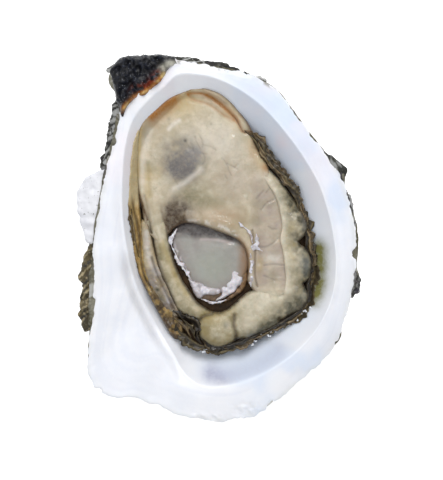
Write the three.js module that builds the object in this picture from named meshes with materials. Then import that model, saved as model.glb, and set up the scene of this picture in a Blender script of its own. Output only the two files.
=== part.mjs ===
// An oyster on the half shell: the cupped lower valve, its hinge ligament and the opened animal in the cup.
// Millimetres. +Z is up out of the cup, +Y runs from the ventral margin to the hinge, +X to the round side.
// The origin is at the middle of the object's box, on the surface that the shell stands on.
import * as THREE from "three";

const { atan2, cos, hypot, max, min, PI, pow, sin } = Math;
const { clamp, lerp, smoothstep } = THREE.MathUtils;

// ---- driving dimensions ----
const CUP_CENTRE = new THREE.Vector2(-1, -2); // the middle of the cup in plan
const CUP_FLOOR = 5; // height of the cup's deepest point
const CUP_STEEPNESS = 3; // power of the cup's profile: a flat floor and a steep wall
const OUTSIDE_STEEPNESS = 1.7; // power of the outside's profile, which is rounder
const FOOT_DEPTH = 2.2; // how much of the outside's belly is worn off flat, as the foot
const THINNEST = 2.4; // shell thickness where the cup comes close to the outside
const THICKEST = 12; // under the rim, where the cup and the outside draw apart
const TOP_LAYER = 1.2; // the white layer above the outer flakes
const RIM_THICKNESS = 2.8; // all the layers at the rim
const RIBS = 0.55; // height of the outside's radial folds
const GROWTH_STEP = 0.45; // height of a growth layer's edge
const MEAT_LEVEL = 23.8; // top of the body
const MEAT_OVER_SHELL = 1.8; // the least height of meat above the cup
const REST_GAP = 0.5; // between the cup and the meat
const LIGAMENT_GAP = 0.3; // between the hinge plate and the ligament
const LIGAMENT_HEIGHT = 2.2;
const NEIGHBOUR_GAP = 0.2; // each soft piece keeps this far inside its outline
const SHELL_SEGMENTS = 120;

// ---- the shell's outlines in plan ----
// The white layer's edge, from the tip of the umbo past the hinge side and down the rounded margin.
const SHELL_EDGE = [
  [-29.3, 45.2], [-26, 48.2], [-20, 49.6], [-13, 49.2], [-4, 47.8], [4, 46.4], [10.5, 44.2],
  [15.5, 41.6], [20, 36.4], [24.5, 30.4], [28.8, 24.6], [32.4, 19], [35, 13], [36.9, 6], [37.8, -1],
  [37.6, -8], [36.4, -15], [34.8, -22], [32.4, -28.4], [28, -34], [22, -39.2], [15, -45.4], [8, -49],
  [0, -50.2], [-9, -48.8], [-17, -46], [-24, -43.4], [-29, -43.8], [-33.8, -41.2], [-36, -36],
  [-35.6, -28], [-34.2, -12], [-34.3, -3], [-33.6, 5], [-32, 13], [-30.2, 21], [-28.2, 29],
  [-27.2, 35], [-27.8, 40.5],
];
// The lip, where the rim's ledge turns down into the cup.
const CUP_LIP = [
  [-5, 45.2], [0, 43.9], [6, 40.9], [12, 36.4], [18, 29.8], [24, 21.5], [27.6, 15], [30, 8],
  [31.6, 1], [32.3, -6], [31.8, -13], [29.8, -19.5], [26.3, -25.5], [21, -31], [14.5, -35.6],
  [7.5, -38.8], [1, -40.5], [-5, -40.3], [-10, -37.6], [-14, -33.5], [-17.5, -28.5], [-21, -22],
  [-24, -13], [-26.5, -3], [-28, 7], [-28, 17], [-27, 26], [-24.8, 33], [-20.5, 38], [-15, 42],
  [-11.3, 45.2],
];
// Heights of the lip and of the white edge, by direction in degrees.
const LIP_HEIGHT = [
  [0, 25.8], [30, 26.4], [60, 27.4], [90, 28], [115, 28.3], [140, 28.2], [180, 26.8], [205, 24.2],
  [225, 22.8], [245, 23], [270, 24], [300, 24.8], [330, 25.4],
];
const EDGE_HEIGHT = [
  [0, 22.8], [30, 23.2], [60, 24.6], [90, 27.2], [118, 27.6], [150, 27.6], [180, 26.4], [205, 25.4],
  [225, 24.4], [250, 23.2], [270, 22.4], [300, 22], [330, 22.2],
];
// How far the outer flakes stand out past the white edge.
const FLAKE_REACH = [
  [-45, 0.5], [-36, 1], [-30, 0.3], [-19, 0.4], [-13, 2], [-8, 0.6], [0, 0.5], [6, 1], [15, 0.7],
  [24, 0.8], [31, 2.4], [38, 0.6], [60, 0.4], [76, 0.9], [110, 1], [119, 0.6], [126, 1.2],
  [140, 0.9], [148, 2.2], [157, 5.2], [166, 5.4], [174, 2.6], [181, 1], [187, 2], [194, 4.1],
  [199, 3.1], [204, 4.3], [210, 3.4], [215, 0.8], [230, 0.4], [290, 0.4],
];
const LIGAMENT = [
  [-26.6, 37.8], [-23.6, 38.8], [-20, 40.2], [-17.6, 42], [-15.4, 44.4], [-16.6, 46.6], [-19, 47.8],
  [-23, 47.4], [-25.8, 45.8], [-26.8, 43.4], [-26.6, 40.6],
];

// ---- the animal's outlines in plan ----
const BODY = [
  [-9, 39.4], [-4, 38], [0, 35.6], [4, 32.2], [6, 28.5], [7, 22], [7.2, 14], [7.4, 7.4], [3, 5.8],
  [-3, 6.4], [-9, 5.4], [-12.4, 3.6], [-15.2, 2.2], [-17.8, 3], [-19.4, 8], [-20.9, 14],
  [-21.6, 20], [-21.2, 27], [-19.2, 32.4], [-15, 36.8],
];
const QUICK_MUSCLE = [
  [-7.5, 4.4], [-2, 4.8], [3.5, 4.2], [7.4, 2.4], [9, -1], [9, -5], [8, -8.2], [5.4, -8.9],
  [3.4, -11.2], [1, -13], [-1.4, -13.4], [-4.2, -12.6], [-7, -10.8], [-9.6, -9], [-11.8, -5],
  [-13, -0.5], [-11.6, 3],
];
// A strip lies between an inner and an outer curve that run the same way.
const CATCH_MUSCLE = {
  inner: [[-8.6, -10.6], [-6.6, -12], [-4, -13.6], [-1.2, -14.3], [1.4, -13.8], [4.2, -11.8], [6.2, -9.8]],
  outer: [[-8.8, -11.6], [-7.2, -13.8], [-4.6, -16.2], [-1.2, -17.2], [2.4, -16.1], [5.8, -13.8], [8, -10.4]],
};
const UPPER_MANTLE = {
  inner: [
    [9, 26.6], [7.9, 20], [8, 13], [8.6, 6.8], [10.6, 1.4], [11.4, -4], [11, -9.6], [9, -13.8],
    [5, -17.8], [0, -19.6], [-4.6, -18.6], [-8.8, -14.6], [-11.8, -9.2], [-14, -4], [-15.4, 0.8],
  ],
  outer: [
    [10.6, 27.8], [15, 21.8], [20, 15.2], [23, 9.2], [25, 3], [26, -4], [26, -11], [23.6, -17.8],
    [17, -24.4], [8, -28.8], [0, -30], [-5, -27], [-9.4, -21.4], [-14.2, -13.4], [-17.2, -4.8],
    [-18.2, 1.4],
  ],
};
const LOWER_MANTLE = {
  inner: [
    [-12.5, 39], [-16.4, 36.7], [-20.4, 32.2], [-22.2, 27], [-22.6, 20], [-22.2, 13], [-22, 6],
    [-21.6, -1], [-20.8, -7], [-19, -12], [-16.4, -17], [-13.2, -21.2], [-8.4, -24.8], [-5, -28.4],
    [0, -30.9], [8.2, -29.7], [17.6, -25.2], [24.4, -18.3], [26.9, -11.2], [26.9, -4], [25.9, 3.2],
    [23.8, 9.6], [20.7, 15.7], [15.6, 22.4], [11.2, 28.2], [8.4, 28.4], [6.6, 29.8], [4.8, 32.7],
    [0.5, 36.4], [-3.7, 38.8], [-7.6, 39.8],
  ],
  outer: [
    [-13.4, 40], [-17.8, 37.2], [-22, 33], [-24.4, 27.4], [-25.4, 20], [-25.5, 13], [-25.2, 6],
    [-24.4, -1], [-23.2, -8], [-21.2, -14.5], [-18.5, -20.5], [-15, -25.8], [-10, -28.8],
    [-5, -31.4], [0.5, -32.1], [8.4, -30.8], [18.2, -26.3], [25.8, -20], [28.4, -14], [28.9, -8],
    [28, -2], [26.6, 3.8], [24.6, 10.2], [21.4, 16.4], [16.4, 23.3], [12.4, 28], [9.6, 30.4],
    [6, 34.4], [1.6, 38.2], [-3, 41.2], [-7.2, 41.4],
  ],
};
const GILLS = {
  inner: [[-20.2, 7], [-19.2, 2.4], [-18.2, -4], [-15.6, -12], [-11.4, -19.6], [-9.4, -22.2]],
  outer: [[-21, 6.8], [-21, 0], [-20.2, -6.4], [-18, -12.4], [-13, -20.2], [-9.8, -23.2]],
};

// ---- curves, and functions of direction ----
const curveThrough = (points, isClosed) =>
  new THREE.CatmullRomCurve3(points.map(([x, y]) => new THREE.Vector3(x, y, 0)), isClosed, "centripetal");
const directionOf = (x, y, centre) => atan2(y - centre.y, x - centre.x);
const degreesOf = (angle) => ((angle * 180) / PI + 720) % 360;

// Values given at directions in degrees, joined by smooth steps, as a function of an angle in radians.
function byDirection(pairs) {
  const sorted = pairs.map(([degrees, value]) => [(degrees + 360) % 360, value]).sort((p, q) => p[0] - q[0]);
  const [first, last] = [sorted[0], sorted.at(-1)];
  const round = [[last[0] - 360, last[1]], ...sorted, [first[0] + 360, first[1]]];
  return (angle) => {
    const degrees = degreesOf(angle);
    const after = round.findIndex(([d]) => d > degrees);
    const [[d0, v0], [d1, v1]] = [round[after - 1], round[after]];
    return lerp(v0, v1, smoothstep(degrees, d0, d1));
  };
}

// The distance from a centre to a closed curve, as a function of an angle in radians.
function radiusOf(points, centre) {
  const CURVE_POINTS = 720;
  const polar = curveThrough(points, true)
    .getSpacedPoints(CURVE_POINTS)
    .map((p) => [degreesOf(directionOf(p.x, p.y, centre)), hypot(p.x - centre.x, p.y - centre.y)])
    .sort((p, q) => p[0] - q[0]);
  return (angle) => {
    const degrees = degreesOf(angle);
    const after = max(0, polar.findIndex(([d]) => d > degrees));
    const [d0, r0] = polar.at(after - 1);
    const [d1, r1] = polar[after];
    const span = (d1 - d0 + 360) % 360 || 1;
    return lerp(r0, r1, ((degrees - d0 + 360) % 360) / span);
  };
}

// ---- heights in plan ----
const lipRadius = radiusOf(CUP_LIP, CUP_CENTRE);
const edgeRadius = radiusOf(SHELL_EDGE, CUP_CENTRE);
const lipHeight = byDirection(LIP_HEIGHT);
const edgeHeight = byDirection(EDGE_HEIGHT);
const flakeReach = byDirection(FLAKE_REACH);

// Height of the shell's upper surface: the cup inside the lip, and the ledge outside it.
function cupHeight(x, y) {
  const angle = directionOf(x, y, CUP_CENTRE);
  const r = hypot(x - CUP_CENTRE.x, y - CUP_CENTRE.y);
  const lip = lipRadius(angle);
  const top = lipHeight(angle);
  if (r <= lip) return CUP_FLOOR + (top - CUP_FLOOR) * pow(r / lip, CUP_STEEPNESS);
  return lerp(top, edgeHeight(angle), min(1, (r - lip) / (edgeRadius(angle) - lip)));
}

// Height of the shell's outside at a share of the way out, with radial folds, growth steps and a worn foot.
function outsideHeight(x, y, angle, share, step) {
  const rimUnderside = edgeHeight(angle) - RIM_THICKNESS;
  const belly = (rimUnderside + FOOT_DEPTH) * pow(share, OUTSIDE_STEEPNESS) - FOOT_DEPTH;
  const relief = (RIBS * (sin(7 * angle + 1) + 0.6 * sin(13 * angle)) + step) * smoothstep(share, 0.35, 0.7);
  const cup = cupHeight(x, y);
  const thinnest = lerp(THINNEST, RIM_THICKNESS, share);
  return max(0, clamp(belly + relief, cup - THICKEST, cup - thinnest));
}

// Height of the meat: a low dome that never sinks into the cup.
function meatHeight(x, y) {
  const dome = MEAT_LEVEL - 0.004 * pow(x + 3, 2) - 0.0016 * pow(y - 12, 2);
  return max(dome, cupHeight(x, y) + MEAT_OVER_SHELL);
}

// ---- solids ----
// A closed body through rings of points, from a pole inside the first ring to a pole inside the last.
function loft(rings, firstPole, lastPole) {
  const n = rings[0].length;
  const points = [firstPole, ...rings.flat(), lastPole];
  const lastIndex = points.length - 1;
  const lastRing = lastIndex - n;
  const faces = [];
  for (let i = 0; i < n; i++) {
    const j = (i + 1) % n;
    faces.push(0, 1 + i, 1 + j);
    for (let k = 0; k + 1 < rings.length; k++) {
      const [a, b] = [1 + k * n, 1 + (k + 1) * n];
      faces.push(a + i, b + i, b + j, a + i, b + j, a + j);
    }
    faces.push(lastRing + i, lastIndex, lastRing + j);
  }
  const outward = signedVolume(points, faces) > 0;
  return new THREE.BufferGeometry().setFromPoints(points).setIndex(outward ? faces : faces.reverse());
}

// The volume inside a closed surface, negative where its faces point inwards.
function signedVolume(points, faces) {
  let volume = 0;
  for (let f = 0; f < faces.length; f += 3) {
    const [a, b, c] = [points[faces[f]], points[faces[f + 1]], points[faces[f + 2]]];
    volume += a.dot(b.clone().cross(c)) / 6;
  }
  return volume;
}

// A soft cushion inside a closed outline, on the shell. top(x, y, s) is its height at a share s inwards.
function cushion(outline, centre, gap, top, { segments, layers }) {
  const edge = curveThrough(outline, true).getSpacedPoints(segments).slice(0, segments);
  const ring = (share, height) =>
    edge.map((p) => {
      const r = hypot(p.x - centre.x, p.y - centre.y);
      const s = (share * (r - NEIGHBOUR_GAP)) / r;
      const [x, y] = [lerp(centre.x, p.x, s), lerp(centre.y, p.y, s)];
      return new THREE.Vector3(x, y, height(x, y));
    });
  const under = (x, y) => cupHeight(x, y) + gap;
  const shares = Array.from({ length: layers }, (_, k) => (k + 1) / layers);
  const lower = shares.map((share) => ring(share, under));
  const upper = shares.toReversed().map((share) => ring(share, (x, y) => top(x, y, 1 - share)));
  const pole = (height) => new THREE.Vector3(centre.x, centre.y, height(centre.x, centre.y));
  return loft([...lower, ...upper], pole(under), pole((x, y) => top(x, y, 1)));
}

// A soft strip between two curves, on the shell. top(x, y, v) is its height at a share v of the way across.
function strip({ inner, outer }, top, { segments, across }) {
  const curves = [curveThrough(inner, false), curveThrough(outer, false)];
  const shares = Array.from({ length: across + 1 }, (_, k) => k / across);
  const sections = [];
  for (let i = 0; i <= segments; i++) {
    const [a, b] = curves.map((curve) => curve.getPointAt(i / segments));
    const inset = NEIGHBOUR_GAP / a.distanceTo(b);
    const at = (v, height) => {
      const p = a.clone().lerp(b, lerp(inset, 1 - inset, v));
      return p.setZ(height(p.x, p.y, v));
    };
    const upper = shares.map((v) => at(v, top));
    const lower = shares.toReversed().map((v) => at(v, (x, y) => cupHeight(x, y) + REST_GAP));
    sections.push([...upper, ...lower]);
  }
  const middle = (loop) => loop.reduce((sum, p) => sum.add(p), new THREE.Vector3()).divideScalar(loop.length);
  return loft(sections, middle(sections[0]), middle(sections.at(-1)));
}

// ---- the shell: cup, ledge, layered rim, and the outside down to the foot ----
function shellGeometry() {
  const edge = curveThrough(SHELL_EDGE, true).getSpacedPoints(SHELL_SEGMENTS).slice(0, SHELL_SEGMENTS);
  // A ring of points at a distance r(angle) from the cup's centre.
  const ring = (r, height) =>
    edge.map((p) => {
      const angle = directionOf(p.x, p.y, CUP_CENTRE);
      const x = CUP_CENTRE.x + r(angle) * cos(angle);
      const y = CUP_CENTRE.y + r(angle) * sin(angle);
      return new THREE.Vector3(x, y, height(x, y, angle));
    });
  const cup = [0.2, 0.4, 0.55, 0.67, 0.77, 0.86, 0.94, 1].map((share) =>
    ring((angle) => share * lipRadius(angle), cupHeight),
  );
  const ledge = [0.35, 0.7, 1].map((share) =>
    ring((angle) => lerp(lipRadius(angle), edgeRadius(angle), share), cupHeight),
  );
  const flake = (inset) => (angle) => edgeRadius(angle) + flakeReach(angle) - inset;
  const rim = [
    ring((angle) => edgeRadius(angle) - 0.2, (x, y, angle) => edgeHeight(angle) - TOP_LAYER),
    ring(flake(0), (x, y, angle) => edgeHeight(angle) - TOP_LAYER - 0.4),
    ring(flake(0.1), (x, y, angle) => edgeHeight(angle) - RIM_THICKNESS),
  ];
  const outside = [0.96, 0.93, 0.88, 0.84, 0.79, 0.74, 0.68, 0.62, 0.56, 0.49, 0.42, 0.34, 0.26, 0.12];
  const belly = outside.map((share, k) =>
    ring(
      (angle) => share * edgeRadius(angle),
      (x, y, angle) => outsideHeight(x, y, angle, share, k % 2 ? GROWTH_STEP : -GROWTH_STEP),
    ),
  );
  const pole = (z) => new THREE.Vector3(CUP_CENTRE.x, CUP_CENTRE.y, z);
  return loft([...cup, ...ledge, ...rim, ...belly], pole(CUP_FLOOR), pole(0));
}

// ---- the pieces ----
const oyster = new THREE.Group();
function add(name, geometry, color, roughness) {
  geometry.computeVertexNormals();
  const mesh = new THREE.Mesh(geometry, new THREE.MeshStandardMaterial({ color, roughness, metalness: 0 }));
  mesh.name = name;
  oyster.add(mesh);
}
// How much lower a cushion's edge is than its middle, at a share s of the way in.
const rounded = (drop, s) => drop * pow(1 - min(1, s * 3), 2);
const ligamentTop = (x, y, s) => cupHeight(x, y) + LIGAMENT_HEIGHT - rounded(1, s);
const bodyTop = (x, y, s) => meatHeight(x, y) - rounded(1.6, s);
const quickTop = (x, y, s) => meatHeight(x, y) - 1.6 - rounded(1, s);
const catchTop = (x, y) => meatHeight(x, y) - 1.4;
const upperMantleTop = (x, y, v) => meatHeight(x, y) + sin(PI * v) - 1;
const lowerMantleTop = (x, y) => meatHeight(x, y) - 0.6;
const gillTop = (x, y) => meatHeight(x, y) - 0.9;

const hingePlate = { x: -21.5, y: 43.4 };
const ligament = cushion(LIGAMENT, hingePlate, LIGAMENT_GAP, ligamentTop, { segments: 24, layers: 3 });
const body = cushion(BODY, { x: -7, y: 20 }, REST_GAP, bodyTop, { segments: 44, layers: 6 });
const quick = cushion(QUICK_MUSCLE, { x: -2, y: -4.5 }, REST_GAP, quickTop, { segments: 28, layers: 4 });

add("lower_valve", shellGeometry(), 0xeceaf0, 0.45);
add("hinge_ligament", ligament, 0x1d1c20, 0.3);
add("visceral_mass", body, 0xcdbf9d, 0.25);
add("adductor_quick_muscle", quick, 0xa9a493, 0.2);
add("adductor_catch_muscle", strip(CATCH_MUSCLE, catchTop, { segments: 14, across: 3 }), 0xe6e0e2, 0.3);
add("mantle_upper_lobe", strip(UPPER_MANTLE, upperMantleTop, { segments: 56, across: 8 }), 0xc9bb97, 0.25);
add("mantle_lower_lobe", strip(LOWER_MANTLE, lowerMantleTop, { segments: 84, across: 3 }), 0x8a7350, 0.3);
add("gills", strip(GILLS, gillTop, { segments: 18, across: 3 }), 0xb3aca4, 0.3);

// The origin goes to the middle of the whole box, at the foot.
const box = new THREE.Box3().setFromObject(oyster);
const middle = box.getCenter(new THREE.Vector3());
oyster.position.set(-middle.x, -middle.y, -box.min.z);

export default oyster;
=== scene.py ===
# An oyster on the half shell: the porcelain cup, its flaky outside, and the wet animal in it.
# The shape code works in millimetres, and MM turns them into the frame's metres.
import math

import bpy
import numpy as np
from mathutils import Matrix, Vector
from mathutils.geometry import delaunay_2d_cdt


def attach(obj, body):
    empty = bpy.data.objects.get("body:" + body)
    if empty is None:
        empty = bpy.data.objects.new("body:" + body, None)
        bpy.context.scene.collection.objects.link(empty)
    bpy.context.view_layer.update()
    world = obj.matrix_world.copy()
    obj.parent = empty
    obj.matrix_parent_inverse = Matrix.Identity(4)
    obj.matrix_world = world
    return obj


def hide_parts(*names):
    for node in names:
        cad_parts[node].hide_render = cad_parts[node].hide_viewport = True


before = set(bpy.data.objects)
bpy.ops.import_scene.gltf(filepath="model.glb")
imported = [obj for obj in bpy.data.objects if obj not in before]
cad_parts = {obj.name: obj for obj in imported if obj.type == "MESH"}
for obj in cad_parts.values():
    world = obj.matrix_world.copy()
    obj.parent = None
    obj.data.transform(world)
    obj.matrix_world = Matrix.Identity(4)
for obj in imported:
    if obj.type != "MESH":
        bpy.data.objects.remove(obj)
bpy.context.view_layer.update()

MM = 0.001
OUTLINE_BOX_MIDDLE = np.array([0.271, 0.008])  # it becomes the frame's zero in X and Y
CUP_CENTRE = (-1.0, -2.0)
CUP_FLOOR = 5.0
OUTSIDE_STEEPNESS = 1.7
FOOT_DEPTH = 2.2
THINNEST = 2.4
THICKEST = 12.0
WHITE_LAYER = 1.1
RIM_THICKNESS = 2.8
MEAT_LEVEL = 23.8
MEAT_OVER_SHELL = 1.0
FLESH_OVER_SHELL = 0.5
FRINGE_OVER_SHELL = 0.3
FLESH_BOTTOM = 20.0
RIM_ROLL = 0.9
LAYERS = 22
WHITE_STEP = 0.44
OUTER_STEP = 0.5
UMBO = np.array([-20.0, 36.0])  # the growth layers nest round it

# ---------------------------------------------------------------- outlines in plan
SHELL_EDGE = [(-29.3, 45.2), (-26, 48.2), (-20, 49.6), (-13, 49.2), (-4, 47.8), (4, 46.4), (10.5, 44.2),
    (15.5, 41.6), (20, 36.4), (24.5, 30.4), (28.8, 24.6), (32.4, 19), (35, 13), (36.9, 6), (37.8, -1),
    (37.6, -8), (36.4, -15), (34.8, -22), (32.4, -28.4), (28, -34), (22, -39.2), (15, -45.4), (8, -49),
    (0, -50.2), (-9, -48.8), (-17, -46), (-24, -43.4), (-29, -43.8), (-33.8, -41.2), (-36, -36),
    (-35.6, -28), (-34.2, -12), (-34.3, -3), (-33.6, 5), (-32, 13), (-30.2, 21), (-28.2, 29), (-27.2, 35),
    (-27.8, 40.5)]
CUP_LIP = [(-5, 45.2), (0, 43.9), (6, 40.9), (12, 36.4), (18, 29.8), (24, 21.5), (27.6, 15), (30, 8),
    (31.6, 1), (32.3, -6), (31.8, -13), (29.8, -19.5), (26.3, -25.5), (21, -31), (14.5, -35.6),
    (7.5, -38.8), (1, -40.5), (-5, -40.3), (-9.6, -36.8), (-12.6, -31.6), (-15.7, -26.6), (-19.1, -20.6),
    (-22.9, -12.6), (-25.2, -3), (-26.5, 7), (-26.5, 17), (-25.7, 25.6), (-23.8, 32.4), (-20, 37.6),
    (-15, 42), (-11.3, 45.2)]
# Heights and reaches by direction in degrees, seen from the cup's centre.
LIP_HEIGHT = [(0, 25.8), (30, 26.4), (60, 27.4), (90, 28), (115, 28.3), (140, 28.2), (180, 26.8),
    (205, 24.2), (225, 22.8), (245, 23), (270, 24), (300, 24.8), (330, 25.4)]
EDGE_HEIGHT = [(0, 22.8), (30, 23.2), (60, 24.6), (90, 27.2), (118, 27.6), (150, 27.6), (180, 26.4),
    (205, 25.4), (225, 24.4), (250, 23.2), (270, 22.4), (300, 22), (330, 22.2)]
LIP_ROUNDING = [(0, 4.4), (60, 4.2), (90, 3), (130, 2.4), (180, 4), (200, 7), (215, 8), (232, 8),
    (248, 5), (266, 2), (300, 1.6), (320, 3), (340, 4.2)]
STEEPNESS = [(0, 2.2), (170, 2.2), (200, 1.8), (222, 1.6), (244, 1.6), (262, 1.9), (290, 2.2)]
FLAKE_REACH = [(-45, -0.7), (-36, 0.5), (-30, -0.6), (-19, -0.2), (-13, 1.6), (-8, 0.4), (0, 0.5),
    (6, 0.9), (15, 0.5), (24, 0.5), (31, 1.6), (38, 0.2), (60, -0.4), (76, 0.2), (110, 0.5), (119, 0.6),
    (126, 1.2), (140, 0.7), (148, 0.8), (157, 0.5), (166, 0.3), (174, 0.3), (181, 0.2), (187, 0.8),
    (194, 1.6), (199, 1.5), (204, 1.6), (210, 1.0), (215, -0.3), (230, -0.8), (290, -0.8)]
BODY = [(-22.3, 28.8), (-21.5, 31.6), (-19.6, 33.9), (-17, 36.2), (-13, 39.2), (-10, 40.6), (-7.4, 41.5),
    (-4, 41.5), (0, 40.2), (3, 38), (6, 34.8), (8.4, 31.6), (9.4, 29), (10.2, 26.4), (11.8, 23.6),
    (13.4, 20.8), (14.6, 17.4), (16.6, 14.6), (18.4, 11.4), (19.4, 7.4), (19.6, 3.6), (19.2, 0),
    (19.8, -3), (20.2, -8), (19.6, -13), (17, -16.6), (13.4, -17), (10.6, -15.4), (8.8, -13.2),
    (7.9, -11.5), (8, -8), (7.6, -4), (6.6, -1.6), (4.6, 0.2), (2, 1.4), (-1, 2.5), (-5, 3.9), (-9, 4.6),
    (-12, 3.4), (-14.4, 1), (-16, -0.6), (-18.6, 1), (-20.6, 5), (-21.4, 9), (-22.6, 13), (-23, 18),
    (-22.8, 23)]
MANTLE = [(11.2, 19.6), (13.4, 19.6), (15.6, 17.8), (17.8, 15.2), (19.8, 12.4), (21.6, 10), (23.2, 7.4),
    (24.5, 4.6), (24.6, 2), (22.6, -0.1), (22.4, -1.2), (24.6, -2.6), (25.6, -5), (25.9, -8),
    (25.4, -10.8), (23.6, -12.2), (24.2, -13.6), (25.2, -15), (25, -17), (23.6, -19.2), (20.6, -20.9),
    (18.2, -22), (17, -23.6), (14, -25.2), (10.5, -26.5), (7.6, -27.8), (5.4, -27.6), (4.2, -28.4),
    (1.5, -29.9), (-1.2, -30.1), (-3.8, -28.9), (-5.7, -26.6), (-6, -24), (-6.4, -22.2), (-8.4, -21.4),
    (-10.8, -20.2), (-12.6, -18), (-14.2, -14.6), (-16, -11), (-17.4, -7), (-18, -3), (-18.4, 0),
    (-19.4, 3.4), (-20, 6), (-18, 8), (-15.4, 5), (-14, 1.4), (-13.2, -3), (-12, -7), (-10.1, -11.3),
    (-8.4, -13.8), (-6.2, -17), (-3.6, -19), (-1.2, -20), (1.2, -19.8), (3.4, -18.4), (5.6, -16.4),
    (8.2, -14.4), (10.6, -14), (13.8, -14.8), (17.4, -14.8), (18.4, -12), (18.2, -8), (17.6, -3),
    (16.9, 0), (17.4, 3.5), (16.7, 8), (15.4, 12), (13.2, 15.4)]
MEAT_EDGE = [(-8, 41.5), (-3, 41), (0, 40), (5, 36), (8, 32), (12, 27), (16, 23), (20, 17), (23, 11),
    (25, 5), (26, 0), (27, -6), (27, -12), (25.5, -18), (23, -21), (18, -25), (12, -28), (7, -30.6),
    (0, -31.2), (-4, -30.5), (-8, -30), (-10, -28.5), (-14, -26), (-17, -20.5), (-20, -15), (-22, -9),
    (-23.5, -3), (-24.5, 4), (-25, 10), (-24.6, 17), (-24, 23), (-22.9, 29), (-20.4, 33.4), (-17, 37),
    (-13, 40.4)]
LEFT_FOLD = [(-21.9, 31), (-23.6, 27), (-24.4, 22), (-24.8, 17), (-25.1, 11), (-25.2, 7), (-24.7, 4),
    (-24.2, 0), (-23.6, -4), (-22.6, -8.5), (-21, -12.5), (-19.2, -16), (-16.8, -20.5), (-14.6, -24.5),
    (-12.6, -27.4), (-10.8, -27.6), (-9.8, -25), (-10.8, -22.2), (-12.6, -20), (-14.6, -17.8),
    (-17, -14.4), (-18.9, -10.8), (-20, -7.2), (-20.5, -3), (-20.7, 1), (-21.3, 5), (-21.8, 9),
    (-22.1, 15), (-22.1, 21), (-21.8, 27)]
GILL = [(-21.4, 5.6), (-20, 5), (-18.6, 1.4), (-17.8, -2.4), (-16.8, -6), (-15.4, -9.6), (-13.8, -13),
    (-12.2, -17), (-10.6, -21), (-13.4, -21.6), (-15.6, -18.6), (-18.1, -14.8), (-20, -11), (-21.1, -7),
    (-21.5, -3), (-21.8, 1)]
QUICK_MUSCLE = [(-12.2, 3.6), (-8, 5.4), (-3, 5), (3.5, 3.4), (7.4, 1), (8.6, -3), (8.4, -7),
    (6.8, -10.4), (4.4, -12.8), (1.4, -14.4), (-1.6, -15), (-4.6, -14.2), (-7.2, -12.2), (-9.4, -9),
    (-11.4, -5.2), (-12.9, -1)]
LIGAMENT = [(-29.8, 46.4), (-29, 43.6), (-28.4, 40), (-27.6, 36.2), (-26.4, 33.6), (-25.2, 36.2),
    (-22.8, 38.6), (-20, 39.8), (-17.6, 41.8), (-15, 44.6), (-13.6, 47), (-11, 48.2), (-12, 50),
    (-20, 50.4), (-26.4, 49.8)]


# ---------------------------------------------------------------- numbers and curves
def by_direction(pairs):
    """Values at directions in degrees, joined smoothly, as a function of an angle in radians."""
    pairs = sorted(((d + 360) % 360, v) for d, v in pairs)
    degrees = np.array([pairs[-1][0] - 360] + [d for d, _ in pairs] + [pairs[0][0] + 360])
    values = np.array([pairs[-1][1]] + [v for _, v in pairs] + [pairs[0][1]])

    def at(angle):
        d = np.degrees(angle) % 360
        i = np.clip(np.searchsorted(degrees, d, side="right"), 1, len(degrees) - 1)
        t = smooth((d - degrees[i - 1]) / (degrees[i] - degrees[i - 1]))
        return values[i - 1] * (1 - t) + values[i] * t

    return at


def smooth(t):
    t = np.clip(t, 0, 1)
    return t * t * (3 - 2 * t)


def ramp(x, low, high):
    return smooth((x - low) / (high - low))


def soft_min(a, b, k):
    """The lower of two heights, rounded over about k where they cross."""
    return 0.5 * (a + b - np.sqrt((a - b) ** 2 + k * k))


def curve(points, spacing, is_closed):
    """A centripetal Catmull-Rom curve through points, resampled at an even spacing."""
    p = np.array(points, float)
    if is_closed:
        p = np.vstack([p[-1], p, p[0], p[1]])
    else:
        p = np.vstack([2 * p[0] - p[1], p, 2 * p[-1] - p[-2]])
    pieces = []
    s = np.linspace(0, 1, 24, endpoint=False)[:, None]
    for a, b, c, d in zip(p[:-3], p[1:-2], p[2:-1], p[3:]):
        ta, tb, tc = (max(np.linalg.norm(q - o), 1e-6) ** 0.5 for o, q in ((a, b), (b, c), (c, d)))
        m1 = tb * ((b - a) / ta - (c - a) / (ta + tb) + (c - b) / tb)
        m2 = tb * ((c - b) / tb - (d - b) / (tb + tc) + (d - c) / tc)
        pieces.append((2 * s**3 - 3 * s**2 + 1) * b + (s**3 - 2 * s**2 + s) * m1
            + (-2 * s**3 + 3 * s**2) * c + (s**3 - s**2) * m2)
    line = np.vstack(pieces + ([pieces[0][:1]] if is_closed else [p[-2:-1]]))
    along = np.concatenate([[0], np.cumsum(np.linalg.norm(np.diff(line, axis=0), axis=1))])
    count = max(3, int(round(along[-1] / spacing)))
    at = np.linspace(0, along[-1], count, endpoint=not is_closed)
    return np.stack([np.interp(at, along, line[:, k]) for k in range(line.shape[1])], axis=1)


def distance(x, y, line, is_closed=False):
    """Distance from each point to a line of straight steps, and how far along it the nearest point is."""
    a = line
    b = np.roll(line, -1, axis=0)
    if not is_closed:
        a, b = a[:-1], b[:-1]
    length = np.linalg.norm(b - a, axis=1)
    start = np.concatenate([[0], np.cumsum(length)[:-1]])
    best = np.full(x.shape, 1e9)
    along = np.zeros(x.shape)
    for (ax, ay), (bx, by), size, s0 in zip(a, b, length, start):
        t = np.clip(((x - ax) * (bx - ax) + (y - ay) * (by - ay)) / max(size * size, 1e-9), 0, 1)
        d = np.hypot(x - ax - t * (bx - ax), y - ay - t * (by - ay))
        nearer = d < best
        best = np.where(nearer, d, best)
        along = np.where(nearer, s0 + t * size, along)
    return best, along


def near(x, y, points, width):
    """1 on a curve through points, falling off over width."""
    d, _ = distance(x, y, curve(points, 0.8, False))
    return np.exp(-((d / width) ** 2))


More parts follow.
